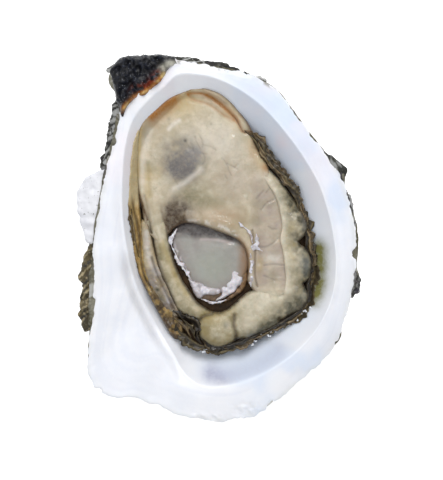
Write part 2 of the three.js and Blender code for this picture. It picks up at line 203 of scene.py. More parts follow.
def blob(x, y, cx, cy, rx, ry=None, power=2):
    """1 at a centre, falling off over rx and ry. A higher power has a flatter middle."""
    ry = rx if ry is None else ry
    return np.exp(-((((x - cx) / rx) ** 2 + ((y - cy) / ry) ** 2) ** (power / 2)))


def lattice(ix, iy, seed):
    h = np.sin(ix * 127.1 + iy * 311.7 + seed * 74.7) * 43758.5453
    return (h - np.floor(h)) * 2 - 1


def noise(x, y, size, seed, octaves=1):
    """Smooth noise from -1 to 1 with bumps of about one size."""
    value, weight = 0.0, 1.0
    for o in range(octaves):
        u, v = np.asarray(x) / size, np.asarray(y) / size
        iu, iv = np.floor(u), np.floor(v)
        fu, fv = smooth(u - iu), smooth(v - iv)
        s = seed + 17 * o
        low = lattice(iu, iv, s) * (1 - fu) + lattice(iu + 1, iv, s) * fu
        high = lattice(iu, iv + 1, s) * (1 - fu) + lattice(iu + 1, iv + 1, s) * fu
        value = value + weight * (low * (1 - fv) + high * fv)
        size, weight = size * 0.5, weight * 0.5
    return value


# ---------------------------------------------------------------- heights in plan
def radius_of(points):
    """An outline's distance from the cup's centre, as a function of the angle."""
    line = curve(points, 0.25, True)
    angle = np.degrees(np.arctan2(line[:, 1] - CUP_CENTRE[1], line[:, 0] - CUP_CENTRE[0])) % 360
    r = np.hypot(line[:, 0] - CUP_CENTRE[0], line[:, 1] - CUP_CENTRE[1])
    order = np.argsort(angle)
    return lambda a: np.interp(np.degrees(a) % 360, angle[order], r[order], period=360)


lip_radius = radius_of(CUP_LIP)
edge_radius = radius_of(SHELL_EDGE)
lip_height = by_direction(LIP_HEIGHT)
edge_height = by_direction(EDGE_HEIGHT)
lip_rounding = by_direction(LIP_ROUNDING)
flake_reach = by_direction(FLAKE_REACH)
steepness = by_direction(STEEPNESS)


def polar(x, y):
    """Angle and distance from the cup's centre."""
    return np.arctan2(y - CUP_CENTRE[1], x - CUP_CENTRE[0]), np.hypot(x - CUP_CENTRE[0],
        y - CUP_CENTRE[1])


def cup_height(x, y):
    """The shell's upper surface: the cup, rounded over the lip into the ledge."""
    angle, r = polar(x, y)
    lip, top, edge = lip_radius(angle), lip_height(angle), edge_radius(angle)
    cup = CUP_FLOOR + (top - CUP_FLOOR) * np.clip(r / lip, 0, 1.3) ** steepness(angle)
    ledge = top + (edge_height(angle) - top) * (r - lip) / (edge - lip)
    rounding = lip_rounding(angle) * (1 - 0.75 * ramp(r / lip, 1.02, 1.16))
    return (soft_min(cup, ledge, rounding)
        + 0.22 * np.minimum(rounding, 3.6) * np.exp(-np.abs(cup - ledge) / 1.6))


def meat_height(x, y):
    """The flesh's upper surface before its own relief: a low dome that never sinks into the shell."""
    dome = MEAT_LEVEL - 0.004 * (x + 3) ** 2 - 0.0016 * (y - 12) ** 2
    return np.maximum(dome, cup_height(x, y) + MEAT_OVER_SHELL)


# ---------------------------------------------------------------- meshes
def make_piece(name, points, faces, masks, material, nodes):
    """A Blender object from points in millimetres, with its masks as point attributes."""
    points = np.asarray(points, float).copy()
    points[:, :2] -= OUTLINE_BOX_MIDDLE
    mesh = bpy.data.meshes.new(name)
    mesh.from_pydata((points * MM).tolist(), [], [list(map(int, f)) for f in faces])
    for key, values in masks.items():
        layer = mesh.attributes.new(key, "FLOAT", "POINT")
        layer.data.foreach_set("value", np.asarray(values, np.float32))
    mesh.polygons.foreach_set("use_smooth", [True] * len(mesh.polygons))
    mesh.materials.append(material)
    mesh.update()
    piece = bpy.data.objects.new(name, mesh)
    bpy.context.collection.objects.link(piece)
    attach(piece, "root")
    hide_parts(*nodes)


def loft_faces(rings, around):
    """Faces of a closed body: pole 0, rings of points, last pole."""
    i = np.arange(around)
    j = (i + 1) % around
    faces = [np.stack([np.zeros(around, int), 1 + i, 1 + j], 1).tolist()]
    for k in range(rings - 1):
        a, b = 1 + k * around, 1 + (k + 1) * around
        faces.append(np.stack([a + i, b + i, b + j, a + j], 1).tolist())
    end = 1 + (rings - 1) * around
    faces.append(np.stack([end + i, np.full(around, end + around), end + j], 1).tolist())
    return [f for group in faces for f in group]


def outward(points, faces):
    """The faces, turned round if they point inwards."""
    p = np.asarray(points)
    volume = 0.0
    # Quads and triangles alike are fanned from their first corner.
    for f in faces:
        for b, c in zip(f[1:-1], f[2:]):
            volume += np.dot(p[f[0]], np.cross(p[b], p[c]))
    return faces if volume > 0 else [f[::-1] for f in faces]


def triangulate(loop, spacing):
    """Points and triangles that fill a closed loop evenly. The loop's own points come first."""
    lo, hi = loop.min(0), loop.max(0)
    rows = np.arange(lo[1], hi[1], spacing * 0.87)
    columns = np.arange(lo[0], hi[0], spacing)
    gx, gy = np.meshgrid(columns, rows)
    gx = gx + (np.arange(len(rows)) % 2)[:, None] * spacing * 0.5
    gx, gy = gx.ravel(), gy.ravel()
    x0, y0 = loop[:, 0], loop[:, 1]
    x1, y1 = np.roll(x0, -1), np.roll(y0, -1)
    inside = np.zeros(gx.shape, bool)
    for ax, ay, bx, by in zip(x0, y0, x1, y1):
        crosses = (ay > gy) != (by > gy)
        if ay != by:
            inside ^= crosses & (gx < (bx - ax) * (gy - ay) / (by - ay) + ax)
    gx, gy = gx[inside], gy[inside]
    d, _ = distance(gx, gy, loop, True)
    keep = d > 0.55 * spacing
    points = np.vstack([loop, np.stack([gx[keep], gy[keep]], 1)])
    n = len(loop)
    edges = [(i, (i + 1) % n) for i in range(n)]
    # output type 1 keeps only the triangles inside the loop
    out, _, tris, *_ = delaunay_2d_cdt([Vector(p) for p in points], edges, [], 1, 1e-5)
    out = np.array([tuple(v) for v in out])
    return out, [tuple(t) for t in tris], n


def slab(name, outline, top, under, masks, material, nodes, spacing, jag=0.0, thin=False, seed=1):
    """A closed body over an outline. top and masks take x, y and the distance in from the edge."""
    loop = curve(outline, spacing, True)
    if jag:
        ahead = np.roll(loop, -1, axis=0) - np.roll(loop, 1, axis=0)
        side = np.stack([ahead[:, 1], -ahead[:, 0]], 1) / np.linalg.norm(ahead, axis=1)[:, None]
        wobble = noise(loop[:, 0], loop[:, 1], 1.6, seed, 3)
        loop = loop + side * (jag * wobble)[:, None]
    flat, tris, n = triangulate(loop, spacing)
    x, y = flat[:, 0], flat[:, 1]
    d, _ = distance(x, y, loop, True)
    upper = np.stack([x, y, top(x, y, d)], 1)
    values = {key: np.clip(mask, 0, 1) for key, mask in (masks(x, y, d) if masks else {}).items()}
    if thin:
        lower = np.stack([x, y, under(x, y, upper[:, 2])], 1)
        lower_tris = tris
    else:
        lower = np.stack([x[:n], y[:n], under(x[:n], y[:n], upper[:n, 2])], 1)
        edges = [(i, (i + 1) % n) for i in range(n)]
        out, _, lower_tris, *_ = delaunay_2d_cdt([Vector(p) for p in flat[:n]], edges, [], 1, 1e-5)
        if len(out) != n:
            raise RuntimeError(f"{name}: its outline crosses itself")
    base = len(upper)
    faces = list(tris) + [tuple(base + v for v in reversed(t)) for t in lower_tris]
    clockwise = np.sum(loop[:, 0] * np.roll(loop[:, 1], -1) - np.roll(loop[:, 0], -1) * loop[:, 1]) < 0
    for i in range(n):
        j = (i + 1) % n
        wall = (i, base + i, base + j, j)
        faces.append(wall[::-1] if clockwise else wall)
    points = np.vstack([upper, lower])
    values = {key: np.concatenate([v, v[: len(lower)]]) for key, v in values.items()}
    make_piece(name, points, faces, values, material, nodes)


def band(name, sections, masks, material, nodes):
    """A closed body through sections, an array of stations by points round by three, with capped ends."""
    stations, around, _ = sections.shape
    points = np.vstack([sections[0].mean(0), sections.reshape(-1, 3), sections[-1].mean(0)])
    faces = outward(points, loft_faces(stations, around))
    values = {k: np.concatenate([[v[0].mean()], v.ravel(), [v[-1].mean()]]) for k, v in masks.items()}
    make_piece(name, points, faces, values, material, nodes)


# ---------------------------------------------------------------- materials
def node_tree(name):
    material = bpy.data.materials.new(name)
    material.use_nodes = True
    tree = material.node_tree
    return material, tree, tree.nodes["Principled BSDF"]


def set_inputs(node, values):
    for name, value in values.items():
        node.inputs[name].default_value = value


def noise_node(tree, scale_mm, detail=4.0, roughness=0.55, distortion=0.0):
    """A noise texture in the frame's own coordinates, with bumps of about scale_mm."""
    coordinates = tree.nodes.new("ShaderNodeTexCoord")
    texture = tree.nodes.new("ShaderNodeTexNoise")
    scale = 1 / (scale_mm * MM)
    set_inputs(texture, {"Scale": scale, "Detail": detail, "Roughness": roughness,
        "Distortion": distortion})
    tree.links.new(coordinates.outputs["Object"], texture.inputs["Vector"])
    return texture.outputs["Fac"]


def attribute(tree, name):
    node = tree.nodes.new("ShaderNodeAttribute")
    node.attribute_name = name
    return node.outputs["Fac"]


def multiply(tree, a, b):
    node = tree.nodes.new("ShaderNodeMath")
    node.operation = "MULTIPLY"
    node.use_clamp = True
    tree.links.new(a, node.inputs[0])
    tree.links.new(b, node.inputs[1])
    return node.outputs[0]


def remap(tree, value, low, high, to_low=0.0, to_high=1.0):
    node = tree.nodes.new("ShaderNodeMapRange")
    set_inputs(node, {"From Min": low, "From Max": high, "To Min": to_low, "To Max": to_high})
    tree.links.new(value, node.inputs["Value"])
    return node.outputs["Result"]


def mix_colour(tree, factor, a, b):
    node = tree.nodes.new("ShaderNodeMix")
    node.data_type = "RGBA"
    tree.links.new(factor, node.inputs[0])
    for socket, value in ((node.inputs[6], a), (node.inputs[7], b)):
        if isinstance(value, tuple):
            socket.default_value = (*value, 1.0)
        else:
            tree.links.new(value, socket)
    return node.outputs[2]


def layered(tree, colour, layers, speck, speck_high, at_low, at_high):
    """The colour with a tint over it where each mask is, broken up by a fine noise."""
    for mask, tint, strength in layers:
        speckle = remap(tree, speck, 0.3, speck_high, at_low * strength, at_high * strength)
        colour = mix_colour(tree, multiply(tree, attribute(tree, mask), speckle), colour, tint)
    return colour


def bump(tree, shader, height, strength, distance_mm):
    node = tree.nodes.new("ShaderNodeBump")
    set_inputs(node, {"Strength": strength, "Distance": distance_mm * MM})
    tree.links.new(height, node.inputs["Height"])
    tree.links.new(node.outputs["Normal"], shader.inputs["Normal"])


def tissue(name, light, dark, layers, roughness=(0.26, 0.42), mottle_mm=2.2, scatter=0.3, coat=0.25,
        grain=0.3, pepper=0.45):
    """Wet tissue: two tones mottled together and tinted layers over them, under a thin wet coat."""
    material, tree, shader = node_tree(name)
    coarse = noise_node(tree, mottle_mm, detail=5.0, roughness=0.62, distortion=0.3)
    fine = noise_node(tree, 0.5, detail=3.0)
    grains = noise_node(tree, 0.8, detail=4.0, roughness=0.65)
    colour = mix_colour(tree, remap(tree, coarse, 0.36, 0.64), light, dark)
    deeper = tuple(0.62 * v for v in dark)
    colour = mix_colour(tree, remap(tree, grains, 0.52, 0.78, 0.0, pepper), colour, deeper)
    colour = layered(tree, colour, layers, grains, 0.7, 1.1, 0.75)
    tree.links.new(colour, shader.inputs["Base Color"])
    tree.links.new(remap(tree, fine, 0.3, 0.7, *roughness), shader.inputs["Roughness"])
    set_inputs(shader, {"Subsurface Weight": scatter, "Subsurface Radius": (1.0, 0.55, 0.35),
        "Subsurface Scale": 0.9 * MM, "Coat Weight": coat, "Coat Roughness": 0.1, "IOR": 1.3})
    bump(tree, shader, grains, grain, 0.3)
    return material


def porcelain():
    """The shell's white inside: faintly bluish, grey-violet in the cup's depths (partly painted shade), a
    painted shadow pool and an olive stain.
    """
    material, tree, shader = node_tree("porcelain")
    cloud = noise_node(tree, 9.0, detail=3.0)
    fine = noise_node(tree, 0.9, detail=5.0, roughness=0.65)
    colour = mix_colour(tree, remap(tree, cloud, 0.35, 0.7), (0.865, 0.87, 0.905), (0.8, 0.815, 0.87))
    # The bluish tint deep in the cup is partly the nacre's own tint and partly painted shade; the pool is
    # a painted shadow below the flesh.
    colour = layered(tree, colour, [("line", (0.7, 0.73, 0.82), 0.28), ("cup_tint_and_shade", (0.82, 0.89, 1.0), 0.9),
        ("shadow_pool", (0.34, 0.34, 0.46), 1.0), ("blue", (0.7, 0.77, 0.9), 0.8),
        ("mauve", (0.83, 0.76, 0.82), 0.95), ("stain", (0.2, 0.19, 0.06), 1.0),
        ("edge", (0.72, 0.72, 0.7), 0.5), ("dirt", (0.2, 0.19, 0.15), 0.9)], fine, 0.65, 0.7, 1.0)
    tree.links.new(colour, shader.inputs["Base Color"])
    tree.links.new(remap(tree, fine, 0.3, 0.7, 0.3, 0.45), shader.inputs["Roughness"])
    set_inputs(shader, {"Subsurface Weight": 0.25, "Subsurface Radius": (0.8, 0.9, 1.0),
        "Subsurface Scale": 1.5 * MM, "Coat Weight": 0.35, "Coat Roughness": 0.2})
    bump(tree, shader, fine, 0.12, 0.3)
    return material


def crust(name, chalky, filmed, grit_white, streak=(0.66, 0.66, 0.64)):
    """The shell's outside: chalky layers with dark recesses, brown-green film and purple-black rays."""
    material, tree, shader = node_tree(name)
    patch = noise_node(tree, 11.0, detail=5.0, roughness=0.6, distortion=0.4)
    film = noise_node(tree, 6.0, detail=6.0, roughness=0.65)
    grit = noise_node(tree, 0.8, detail=6.0, roughness=0.7)
    colour = mix_colour(tree, remap(tree, patch, 0.35, 0.6), chalky, filmed)
    colour = mix_colour(tree, remap(tree, film, 0.48, 0.62, 0.0, 0.8), colour,
        tuple(0.8 * v for v in filmed))
    colour = mix_colour(tree, attribute(tree, "ray"), colour, (0.05, 0.04, 0.06))
    colour = mix_colour(tree, attribute(tree, "recess"), colour, (0.035, 0.033, 0.028))
    colour = mix_colour(tree, attribute(tree, "chalk"), colour, streak)
    colour = mix_colour(tree, remap(tree, grit, 0.5, 0.72, 0.0, grit_white), colour, (0.6, 0.58, 0.5))
    tree.links.new(colour, shader.inputs["Base Color"])
    tree.links.new(remap(tree, grit, 0.3, 0.7, 0.6, 0.95), shader.inputs["Roughness"])
    shader.inputs["Specular IOR Level"].default_value = 0.25
    bump(tree, shader, grit, 0.6, 0.4)
    return material


def glowing_pale_flake():
    """A thin, almost clear flake of shell, white with a few dark specks and a faint painted glow."""
    material, tree, shader = node_tree("glowing_pale_flake")
    speck = noise_node(tree, 0.9, detail=2.0)
    cloud = noise_node(tree, 5.0)
    colour = mix_colour(tree, remap(tree, cloud, 0.4, 0.65), (0.76, 0.76, 0.79), (0.66, 0.66, 0.7))
    colour = mix_colour(tree, remap(tree, speck, 0.66, 0.72), colour, (0.2, 0.2, 0.18))
    tree.links.new(colour, shader.inputs["Base Color"])
    # The faint white emission is a painted glow: the flake lights itself.
    set_inputs(shader, {"Roughness": 0.5, "Emission Color": (1, 1, 1, 1), "Emission Strength": 0.05})
    bump(tree, shader, cloud, 0.3, 0.4)
    return material


def horn():
    """The ligament: black horn with painted blue-black and white glints, and an amber to yellow edge."""
    material, tree, shader = node_tree("horn")
    fleck = noise_node(tree, 1.3, detail=6.0, roughness=0.7)
    grain = noise_node(tree, 0.55, detail=3.0, roughness=0.6)
    # The blue-black flecks are painted glints on the black horn.
    colour = mix_colour(tree, remap(tree, fleck, 0.5, 0.68), (0.006, 0.006, 0.008), (0.016, 0.02, 0.036))
    for mask, tint in (("rust", (0.16, 0.022, 0.008)), ("amber", (0.42, 0.15, 0.02)),
            ("yellow", (0.66, 0.5, 0.2)), ("cream", (0.62, 0.6, 0.5))):
        colour = mix_colour(tree, attribute(tree, mask), colour, tint)
    # The bluish-white specks are painted glints.
    colour = mix_colour(tree, remap(tree, grain, 0.66, 0.74, 0.0, 0.8), colour, (0.4, 0.43, 0.48))
    tree.links.new(colour, shader.inputs["Base Color"])
    tree.links.new(remap(tree, fleck, 0.3, 0.7, 0.3, 0.6), shader.inputs["Roughness"])
    set_inputs(shader, {"IOR": 1.25, "Coat Weight": 0.3, "Coat Roughness": 0.08})
    bump(tree, shader, fleck, 0.8, 0.6)
    return material


# ---------------------------------------------------------------- the shell
def worn_rim(x, y):
    """1 on the two crumbled stretches of the rim."""
    return blob(x, y, -3, -49.5, 5, 1.6, 3) + blob(x, y, 8, -46.8, 4.4, 2, 3)


def white_layer():
    edge = curve(SHELL_EDGE, WHITE_STEP, True)
    around = len(edge)
    angle, _ = polar(edge[:, 0], edge[:, 1])
    arc = np.arange(around) * WHITE_STEP
    lip, rim = lip_radius(angle), edge_radius(angle)
    ragged = 0.35 * noise(arc, 0, 3.1, 5, 3) + 0.18 * noise(arc, 9, 0.9, 8, 2)
    chips = -0.9 * ramp(noise(arc, 4, 5.0, 21, 2), 0.55, 0.95)
    reach = rim + ragged + chips

    def ring(r, drop=0.0, relief=1.0):
        x, y = CUP_CENTRE[0] + r * np.cos(angle), CUP_CENTRE[1] + r * np.sin(angle)
        z = cup_height(x, y)
        out = np.clip((r - lip) / np.maximum(rim - lip, 1e-6), 0, 1)
        waves = 0.22 * noise(x, y, 8, 3, 2) * ramp(r / lip, 0.9, 1.1)
        lines = 0.03 * noise(rim - r, angle * 2, 0.8, 12, 2) * out
        crumble = 0.35 * noise(x, y, 1.1, 14, 3) * worn_rim(x, y)
        lines = lines + crumble + 0.12 * noise(x, y, 2.6, 16, 3) * ramp(rim - r, 3.5, 0.5)
        return np.stack([x, y, z + (waves + lines) * relief - drop], 1)

    inside = [ring(lip * s) for s in np.concatenate([np.linspace(0.1, 0.62, 7),
        np.linspace(0.66, 1.0, 34)])]
    ledge = [ring(lip + (reach - RIM_ROLL - lip) * s) for s in np.linspace(0.03, 1, 30)]
    turns = np.linspace(0.25, math.pi / 2, 6)
    roll = [ring(reach - RIM_ROLL + RIM_ROLL * math.sin(t), 0.45 * (1 - math.cos(t))) for t in turns]
    face = [ring(reach - inset, drop, 0.0) for inset,
        drop in ((0.02, 0.7), (0.15, 0.95), (0.6, WHITE_LAYER))]
    below = [ring(lip * s, WHITE_LAYER, 0.0) for s in (1.0, 0.8, 0.5, 0.2)]
    rings = inside + ledge + roll + face + below
    centre_top = [CUP_CENTRE[0], CUP_CENTRE[1], CUP_FLOOR]
    points = np.vstack([[centre_top], *rings, [[*CUP_CENTRE, CUP_FLOOR - WHITE_LAYER]]])
    x, y = points[:, 0], points[:, 1]
    a, r = polar(x, y)
    to_rim = edge_radius(a) - r
    into_cup = 1 - r / lip_radius(a)
    stain = near(x, y, [(27.4, 0), (27.9, -5), (27.7, -12), (26.2, -18)],
        2.2) * (1.15 + 0.2 * noise(x, y, 2.5, 33, 2))
    stain = stain * ramp(y, 3, -3) * ramp(y, -22, -15)
    # A painted shadow: blue-grey shade pooled on the cup's wall below the flesh's lower edge.
    shadow_pool = near(x, y, [(-2, -37), (2, -37.6), (7, -36.8), (12, -34.4), (16, -31.6)], 2.6) * ramp(into_cup,
        -0.02, 0.03)
    chipped = ramp(noise(x, y, 2.2, 31, 3), 0.5, 0.9) * ramp(to_rim, 1.4, 0.3)
    masks = {"line": ramp(noise(to_rim * 1.4, a * 1.6, 1.3, 45, 3), 0.0, 0.7) * ramp(to_rim, 0.6, 2)
        * ramp(into_cup, 0.06, 0.0),
        # Bluish deeper in the cup: partly the nacre's own tint, partly painted shade, with less of it
        # along the lower left.
        "cup_tint_and_shade": ramp(into_cup, -0.02, 0.2)
        * (1 - 0.8 * near(x, y, [(-24, -8), (-19, -22), (-10, -35)], 7)),
        "shadow_pool": shadow_pool,
        "blue": ramp(noise(x, y, 11, 35, 3), -0.1, 0.8) * ramp(x, -8, 8)
        + 0.7 * near(x, y, [(8, 42), (20, 32), (29, 19), (33, 6)], 2.4),
        "mauve": ramp(noise(x, y, 9, 37, 3), -0.5, 0.6) * ramp(y, 4, 24)
        * (0.5 + 0.5 * ramp(into_cup, 0.0, 0.1)),
        "stain": stain,
        "edge": ramp(to_rim, 1.6, 0.2) * (0.4 + 0.6 * ramp(noise(x, y, 3, 39, 2), 0, 0.5))
        + ramp(noise(x, y, 0.9, 41, 3), 0.0, 0.6) * worn_rim(x, y),
        "dirt": chipped * ramp(y, 20, 44)}
    faces = outward(points, loft_faces(len(rings), around))
    make_piece("shell_white_layer", points, faces, masks, porcelain(), ["lower_valve"])


def outside_height(x, y):
    """The outside's smooth form, a boat with a worn flat foot, under the cup."""
    angle, r = polar(x, y)
    share = np.clip(r / edge_radius(angle), 0, 1.15)
    belly = (edge_height(angle) - RIM_THICKNESS + FOOT_DEPTH) * share**OUTSIDE_STEEPNESS - FOOT_DEPTH
    cup = cup_height(x, y)
    form = -soft_min(-belly, -(cup - THICKEST), 3.0)
    return soft_min(form, cup - THINNEST, 0.5)


def outer_layers():
    """Growth layers nested round the umbo. Each free edge stands out over the next, younger layer."""
    edge = curve(SHELL_EDGE, OUTER_STEP, True)
    around = len(edge)
    angle, r = polar(edge[:, 0], edge[:, 1])
    arc = np.arange(around) * OUTER_STEP
    crinkle = 0.5 + 0.5 * noise(arc, 3, 1.8, 44, 3)
    reach = flake_reach(angle) * (0.75 + 0.5 * crinkle)
    rim = edge + (edge - np.array(CUP_CENTRE)) / r[:, None] * reach[:, None]
    from_umbo = rim - UMBO
    fan = np.arctan2(from_umbo[:, 1], from_umbo[:, 0])
    ribs = np.sin(fan * 9 + 0.6 * noise(arc, 0, 30, 2))

    rings, recess = [], []

    def ring(share, push, low):
        p = UMBO + from_umbo * share[:, None]
        x, y = p[:, 0], p[:, 1]
        probe = 0.4
        z = outside_height(x, y)
        slope = np.stack([outside_height(x + probe, y) - z, outside_height(x, y + probe) - z], 1) / probe
        down = np.stack([slope[:, 0], slope[:, 1], -np.ones(around)], 1)
        down /= np.linalg.norm(down, axis=1)[:, None]
        foot = ramp(z, -1.0, 3.0)
        relief = 0.7 * ribs * ramp(share, 0.25, 0.8) + 0.35 * noise(x, y, 5, 61, 3)
        q = np.stack([x, y, z], 1) + down * ((push + relief) * foot)[:, None]
        q[:, 2] = np.maximum(q[:, 2], 0.0)
        rings.append(q)
        recess.append(np.full(around, low))

    top = edge_height(angle) - WHITE_LAYER
    for share, z in ((0.5, top - 3.2), (0.97, top + 0.35)):
        p = np.array(CUP_CENTRE) + (edge - np.array(CUP_CENTRE)) * share
        level = np.minimum(z, cup_height(p[:, 0], p[:, 1]) - 0.5)
        rings.append(np.stack([p[:, 0], p[:, 1], level], 1))
        recess.append(np.zeros(around))
    ripple = 0.3 * noise(arc, 7, 2.4, 71, 2)
    for inset, drop in ((0.0, 0.35), (0.036, 0.7)):
        p = rim + (edge - rim) * inset
        rings.append(np.stack([p[:, 0], p[:, 1], top - drop + ripple], 1))
        recess.append(np.full(around, 0.15))

    def wave(k):
        return 0.012 * noise(arc, k * 3.7, 6, 90 + k, 3) + 0.004 * noise(arc, k * 1.3, 1.4, 40 + k, 2)

    shares = 1 - (np.arange(LAYERS + 1) / LAYERS) ** 0.9 * 0.93
    for k in range(LAYERS):
        outer = shares[k] + wave(k) * (k > 0) - 0.004
        inner = shares[k + 1] + wave(k + 1)
        step = 0.55 + 0.75 * ramp(noise(arc, k * 5.1, 9, 120 + k, 2), -0.2, 0.8)
        for t, lift, low in ((0.0, 1.0, 0.0), (0.05, 1.02, 0.0), (0.35, 0.6, 0.1), (0.75, 0.18, 0.35),
                (1.0, 0.0, 0.9)):
            ring(outer + (inner + 0.006 - outer) * t, step * lift, low)
    rings_array = np.array(rings)
    first = [*CUP_CENTRE, CUP_FLOOR - WHITE_LAYER - 0.6]
    points = np.vstack([[first], rings_array.reshape(-1, 3),
        [[*UMBO, float(rings_array[-1][:, 2].mean())]]])
    recess = np.concatenate([[0], np.array(recess).ravel(), [0]])
    x, y, z = points.T
    fans = np.arctan2(y - UMBO[1], x - UMBO[0])
    masks = {"recess": recess,
        "ray": ramp(np.sin(fans * 14 + 2 * noise(x, y, 18, 7)) + 0.4 * noise(x, y, 3, 15, 3), 0.55, 1.1)
        * 0.85,
        "chalk": ramp(noise(x + 0.8 * z, y - 0.8 * z, 3.4, 77, 4)
            + 0.35 * noise(x - z, y + z, 0.9, 78, 3), 0.45, 0.95) * 0.75}
    faces = outward(points, loft_faces(len(rings), around))
    outside = crust("crust", (0.3, 0.285, 0.22), (0.1, 0.09, 0.05), 0.4)
    make_piece("shell_outer_layers", points, faces, masks, outside, ["lower_valve"])


white_layer()
outer_layers()

# ---------------------------------------------------------------- the animal
FLESH_LIGHT = (0.6, 0.53, 0.4)
FLESH_DARK = (0.47, 0.405, 0.29)


def rounded(d, roll, drop):
    """How far a surface has dropped at a distance d in from its edge."""
    t = np.clip(d / roll, 0, 1)
    return drop * (1 - np.sqrt(1 - (1 - t) ** 2))


def deep(x, y, z):
    """The hidden underside of the flesh."""
    return np.minimum(np.minimum(cup_height(x, y) + FLESH_OVER_SHELL, z - 0.6), FLESH_BOTTOM)


def total(curves, x, y, width):
    """Masks of several thin curves, added up."""
    return sum(near(x, y, points, width) for points in curves)


def from_meat_edge(x, y):
    """Distance in from the outer edge of all the flesh."""
    return distance(x, y, curve(MEAT_EDGE, 0.8, True), True)[0]


HOOD = [(-9, 5.8), (-4, 5.6), (1, 4.4), (5.2, 2.4), (8, -1.2), (8.6, -6), (8.6, -11)]
BODY_VEINS = [[(-9.4, 27.3), (-8.4, 25.6), (-7, 25)], [(-7.8, 26.6), (-7, 25.6), (-7.2, 24.4)],
    [(-6.6, 28.4), (-6.2, 26.8), (-5.2, 25)], [(-5, 23.8), (-3.4, 23.6)],
    [(-4.4, 23.6), (-3.7, 22), (-4.5, 20.6)], [(0.8, 22.4), (2.2, 20.8), (2.6, 19.4), (3.4, 17.6)],
    [(2.2, 20.8), (3.8, 20.2), (5, 19.4)], [(-5.4, 28.8), (-4.6, 27), (-4.6, 25.4)],
    [(-4.2, 26), (-2.4, 25.6), (-0.8, 24.6)], [(-12.8, 17.4), (-11.4, 15.2)],
    [(-14.6, 21.4), (-14, 22.6)], [(12, 24.6), (9, 25.4)], [(1.6, 17.8), (2.2, 16.8)],
    [(5.2, 20.8), (4.2, 19.8)]]
MEMBRANE_VEINS = [[(11.6, 8.2), (13, 10), (15, 11)], [(11.6, -2), (13.2, -1.9), (15, -0.9), (16.6, 0.6)],
    [(12.4, -7.1), (15, -6.8), (18, -7.1)], [(12.4, -10), (15.4, -11.2)],
    [(13.6, 3.6), (14.4, 3), (15.8, 3)], [(13, 13), (14, 14.2)], [(10.4, 11.4), (12.2, 13.4)]]
CREASE = [(-8.6, 40.2), (-5, 40.2), (-2, 39), (2.4, 35.4), (5, 32.6), (6.2, 30.2), (6.6, 29.6),
    (8.2, 29.6), (9.6, 28)]
LOWER_CREASE = [(-8.6, 39.8), (-7.2, 38.6), (-4, 37.6), (-1.6, 36.4), (1, 34.4), (4, 32.8)]
SPOT_LINE = [(-12.4, 14), (-9.6, 15.4), (-7.6, 17), (-5, 19.2)]
LEFT_LINE = [(-22.6, 24), (-22.8, 18), (-22.4, 14), (-21.2, 9.6), (-20, 6), (-19, 2)]
OLIVE_STRIPE = [(-21.8, 30.4), (-21.9, 26), (-22.4, 21), (-22.8, 17)]
INNER_STRIPE = [(-20, 20.4), (-19.8, 16), (-19.4, 12)]
FOLD_EDGE = [(-16.4, 11), (-15.8, 8), (-15, 4.4), (-14, 1.4)]
TORN_LINE = [(9.2, 2.6), (9.4, 1), (9.3, -0.8), (10, -3.4), (9.9, -7), (10, -10.4), (10.6, -13)]
FOLD_CREASES = [[(-20.6, 12), (-19.8, 8), (-18.8, 3), (-18.2, -1), (-17.6, -4.5)],
    [(-17.6, -4.5), (-16.2, -9), (-14.4, -13), (-12.2, -18)]]
LONG_FOLD = [(-18.6, 13), (-17.9, 9), (-17, 3), (-15.6, -3), (-13.8, -9), (-10.8, -14.6), (-6.6, -19)]


def long_fold(x, y):
    return 0.75 * near(x, y, LONG_FOLD, 1.7) * ramp(y, 15, 7)


def body_top(x, y, d):
    membrane = ramp(x, 8.6, 12) * ramp(y, 17.5, 11)
    blend = ramp(y, 7, 3) * ramp(x, -13, -15)
    z = (meat_height(x, y) + (1 - blend) * (0.3 * noise(x, y, 7, 201, 2)
        + 0.07 * noise(x, y, 1.4, 202, 3)) + long_fold(x, y))
    z = z + 0.7 * near(x, y, HOOD, 1.7)
    z = z - 0.7 * membrane * ramp(y, -15, -9) + 0.2 * near(x, y, SPOT_LINE, 0.8)
    z = z - 0.08 * total(BODY_VEINS, x, y, 0.3) - 0.14 * total(MEMBRANE_VEINS, x, y, 0.3)
    z = z + 0.1 * noise(x * 0.35, y, 1.2, 203, 2) * membrane
    z = (z - 0.6 * near(x, y, CREASE, 0.32) - 0.4 * near(x, y, LOWER_CREASE, 0.6)
        + 0.5 * near(x, y, [(-4, 41), (1, 38.6), (5, 34.6), (7.6, 31.4)], 0.8))
    z = (z - 0.5 * near(x, y, LEFT_LINE, 0.45) - 0.4 * near(x, y, INNER_STRIPE, 0.7)
        - 0.5 * near(x, y, FOLD_EDGE, 0.7) * ramp(y, 12, 7))
    z = (z - 0.6 * blob(x, y, -12.6, 5.4, 2.6, 3.4) - 0.5 * near(x, y, TORN_LINE, 0.3)
        - 0.4 * total(FOLD_CREASES, x, y, 0.4))
    z = np.maximum(z, cup_height(x, y) + FLESH_OVER_SHELL)
    return z - rounded(d, 1.5, 1.2) * (1 - ramp(x, -13, -15.4) * ramp(y, 7, 3))


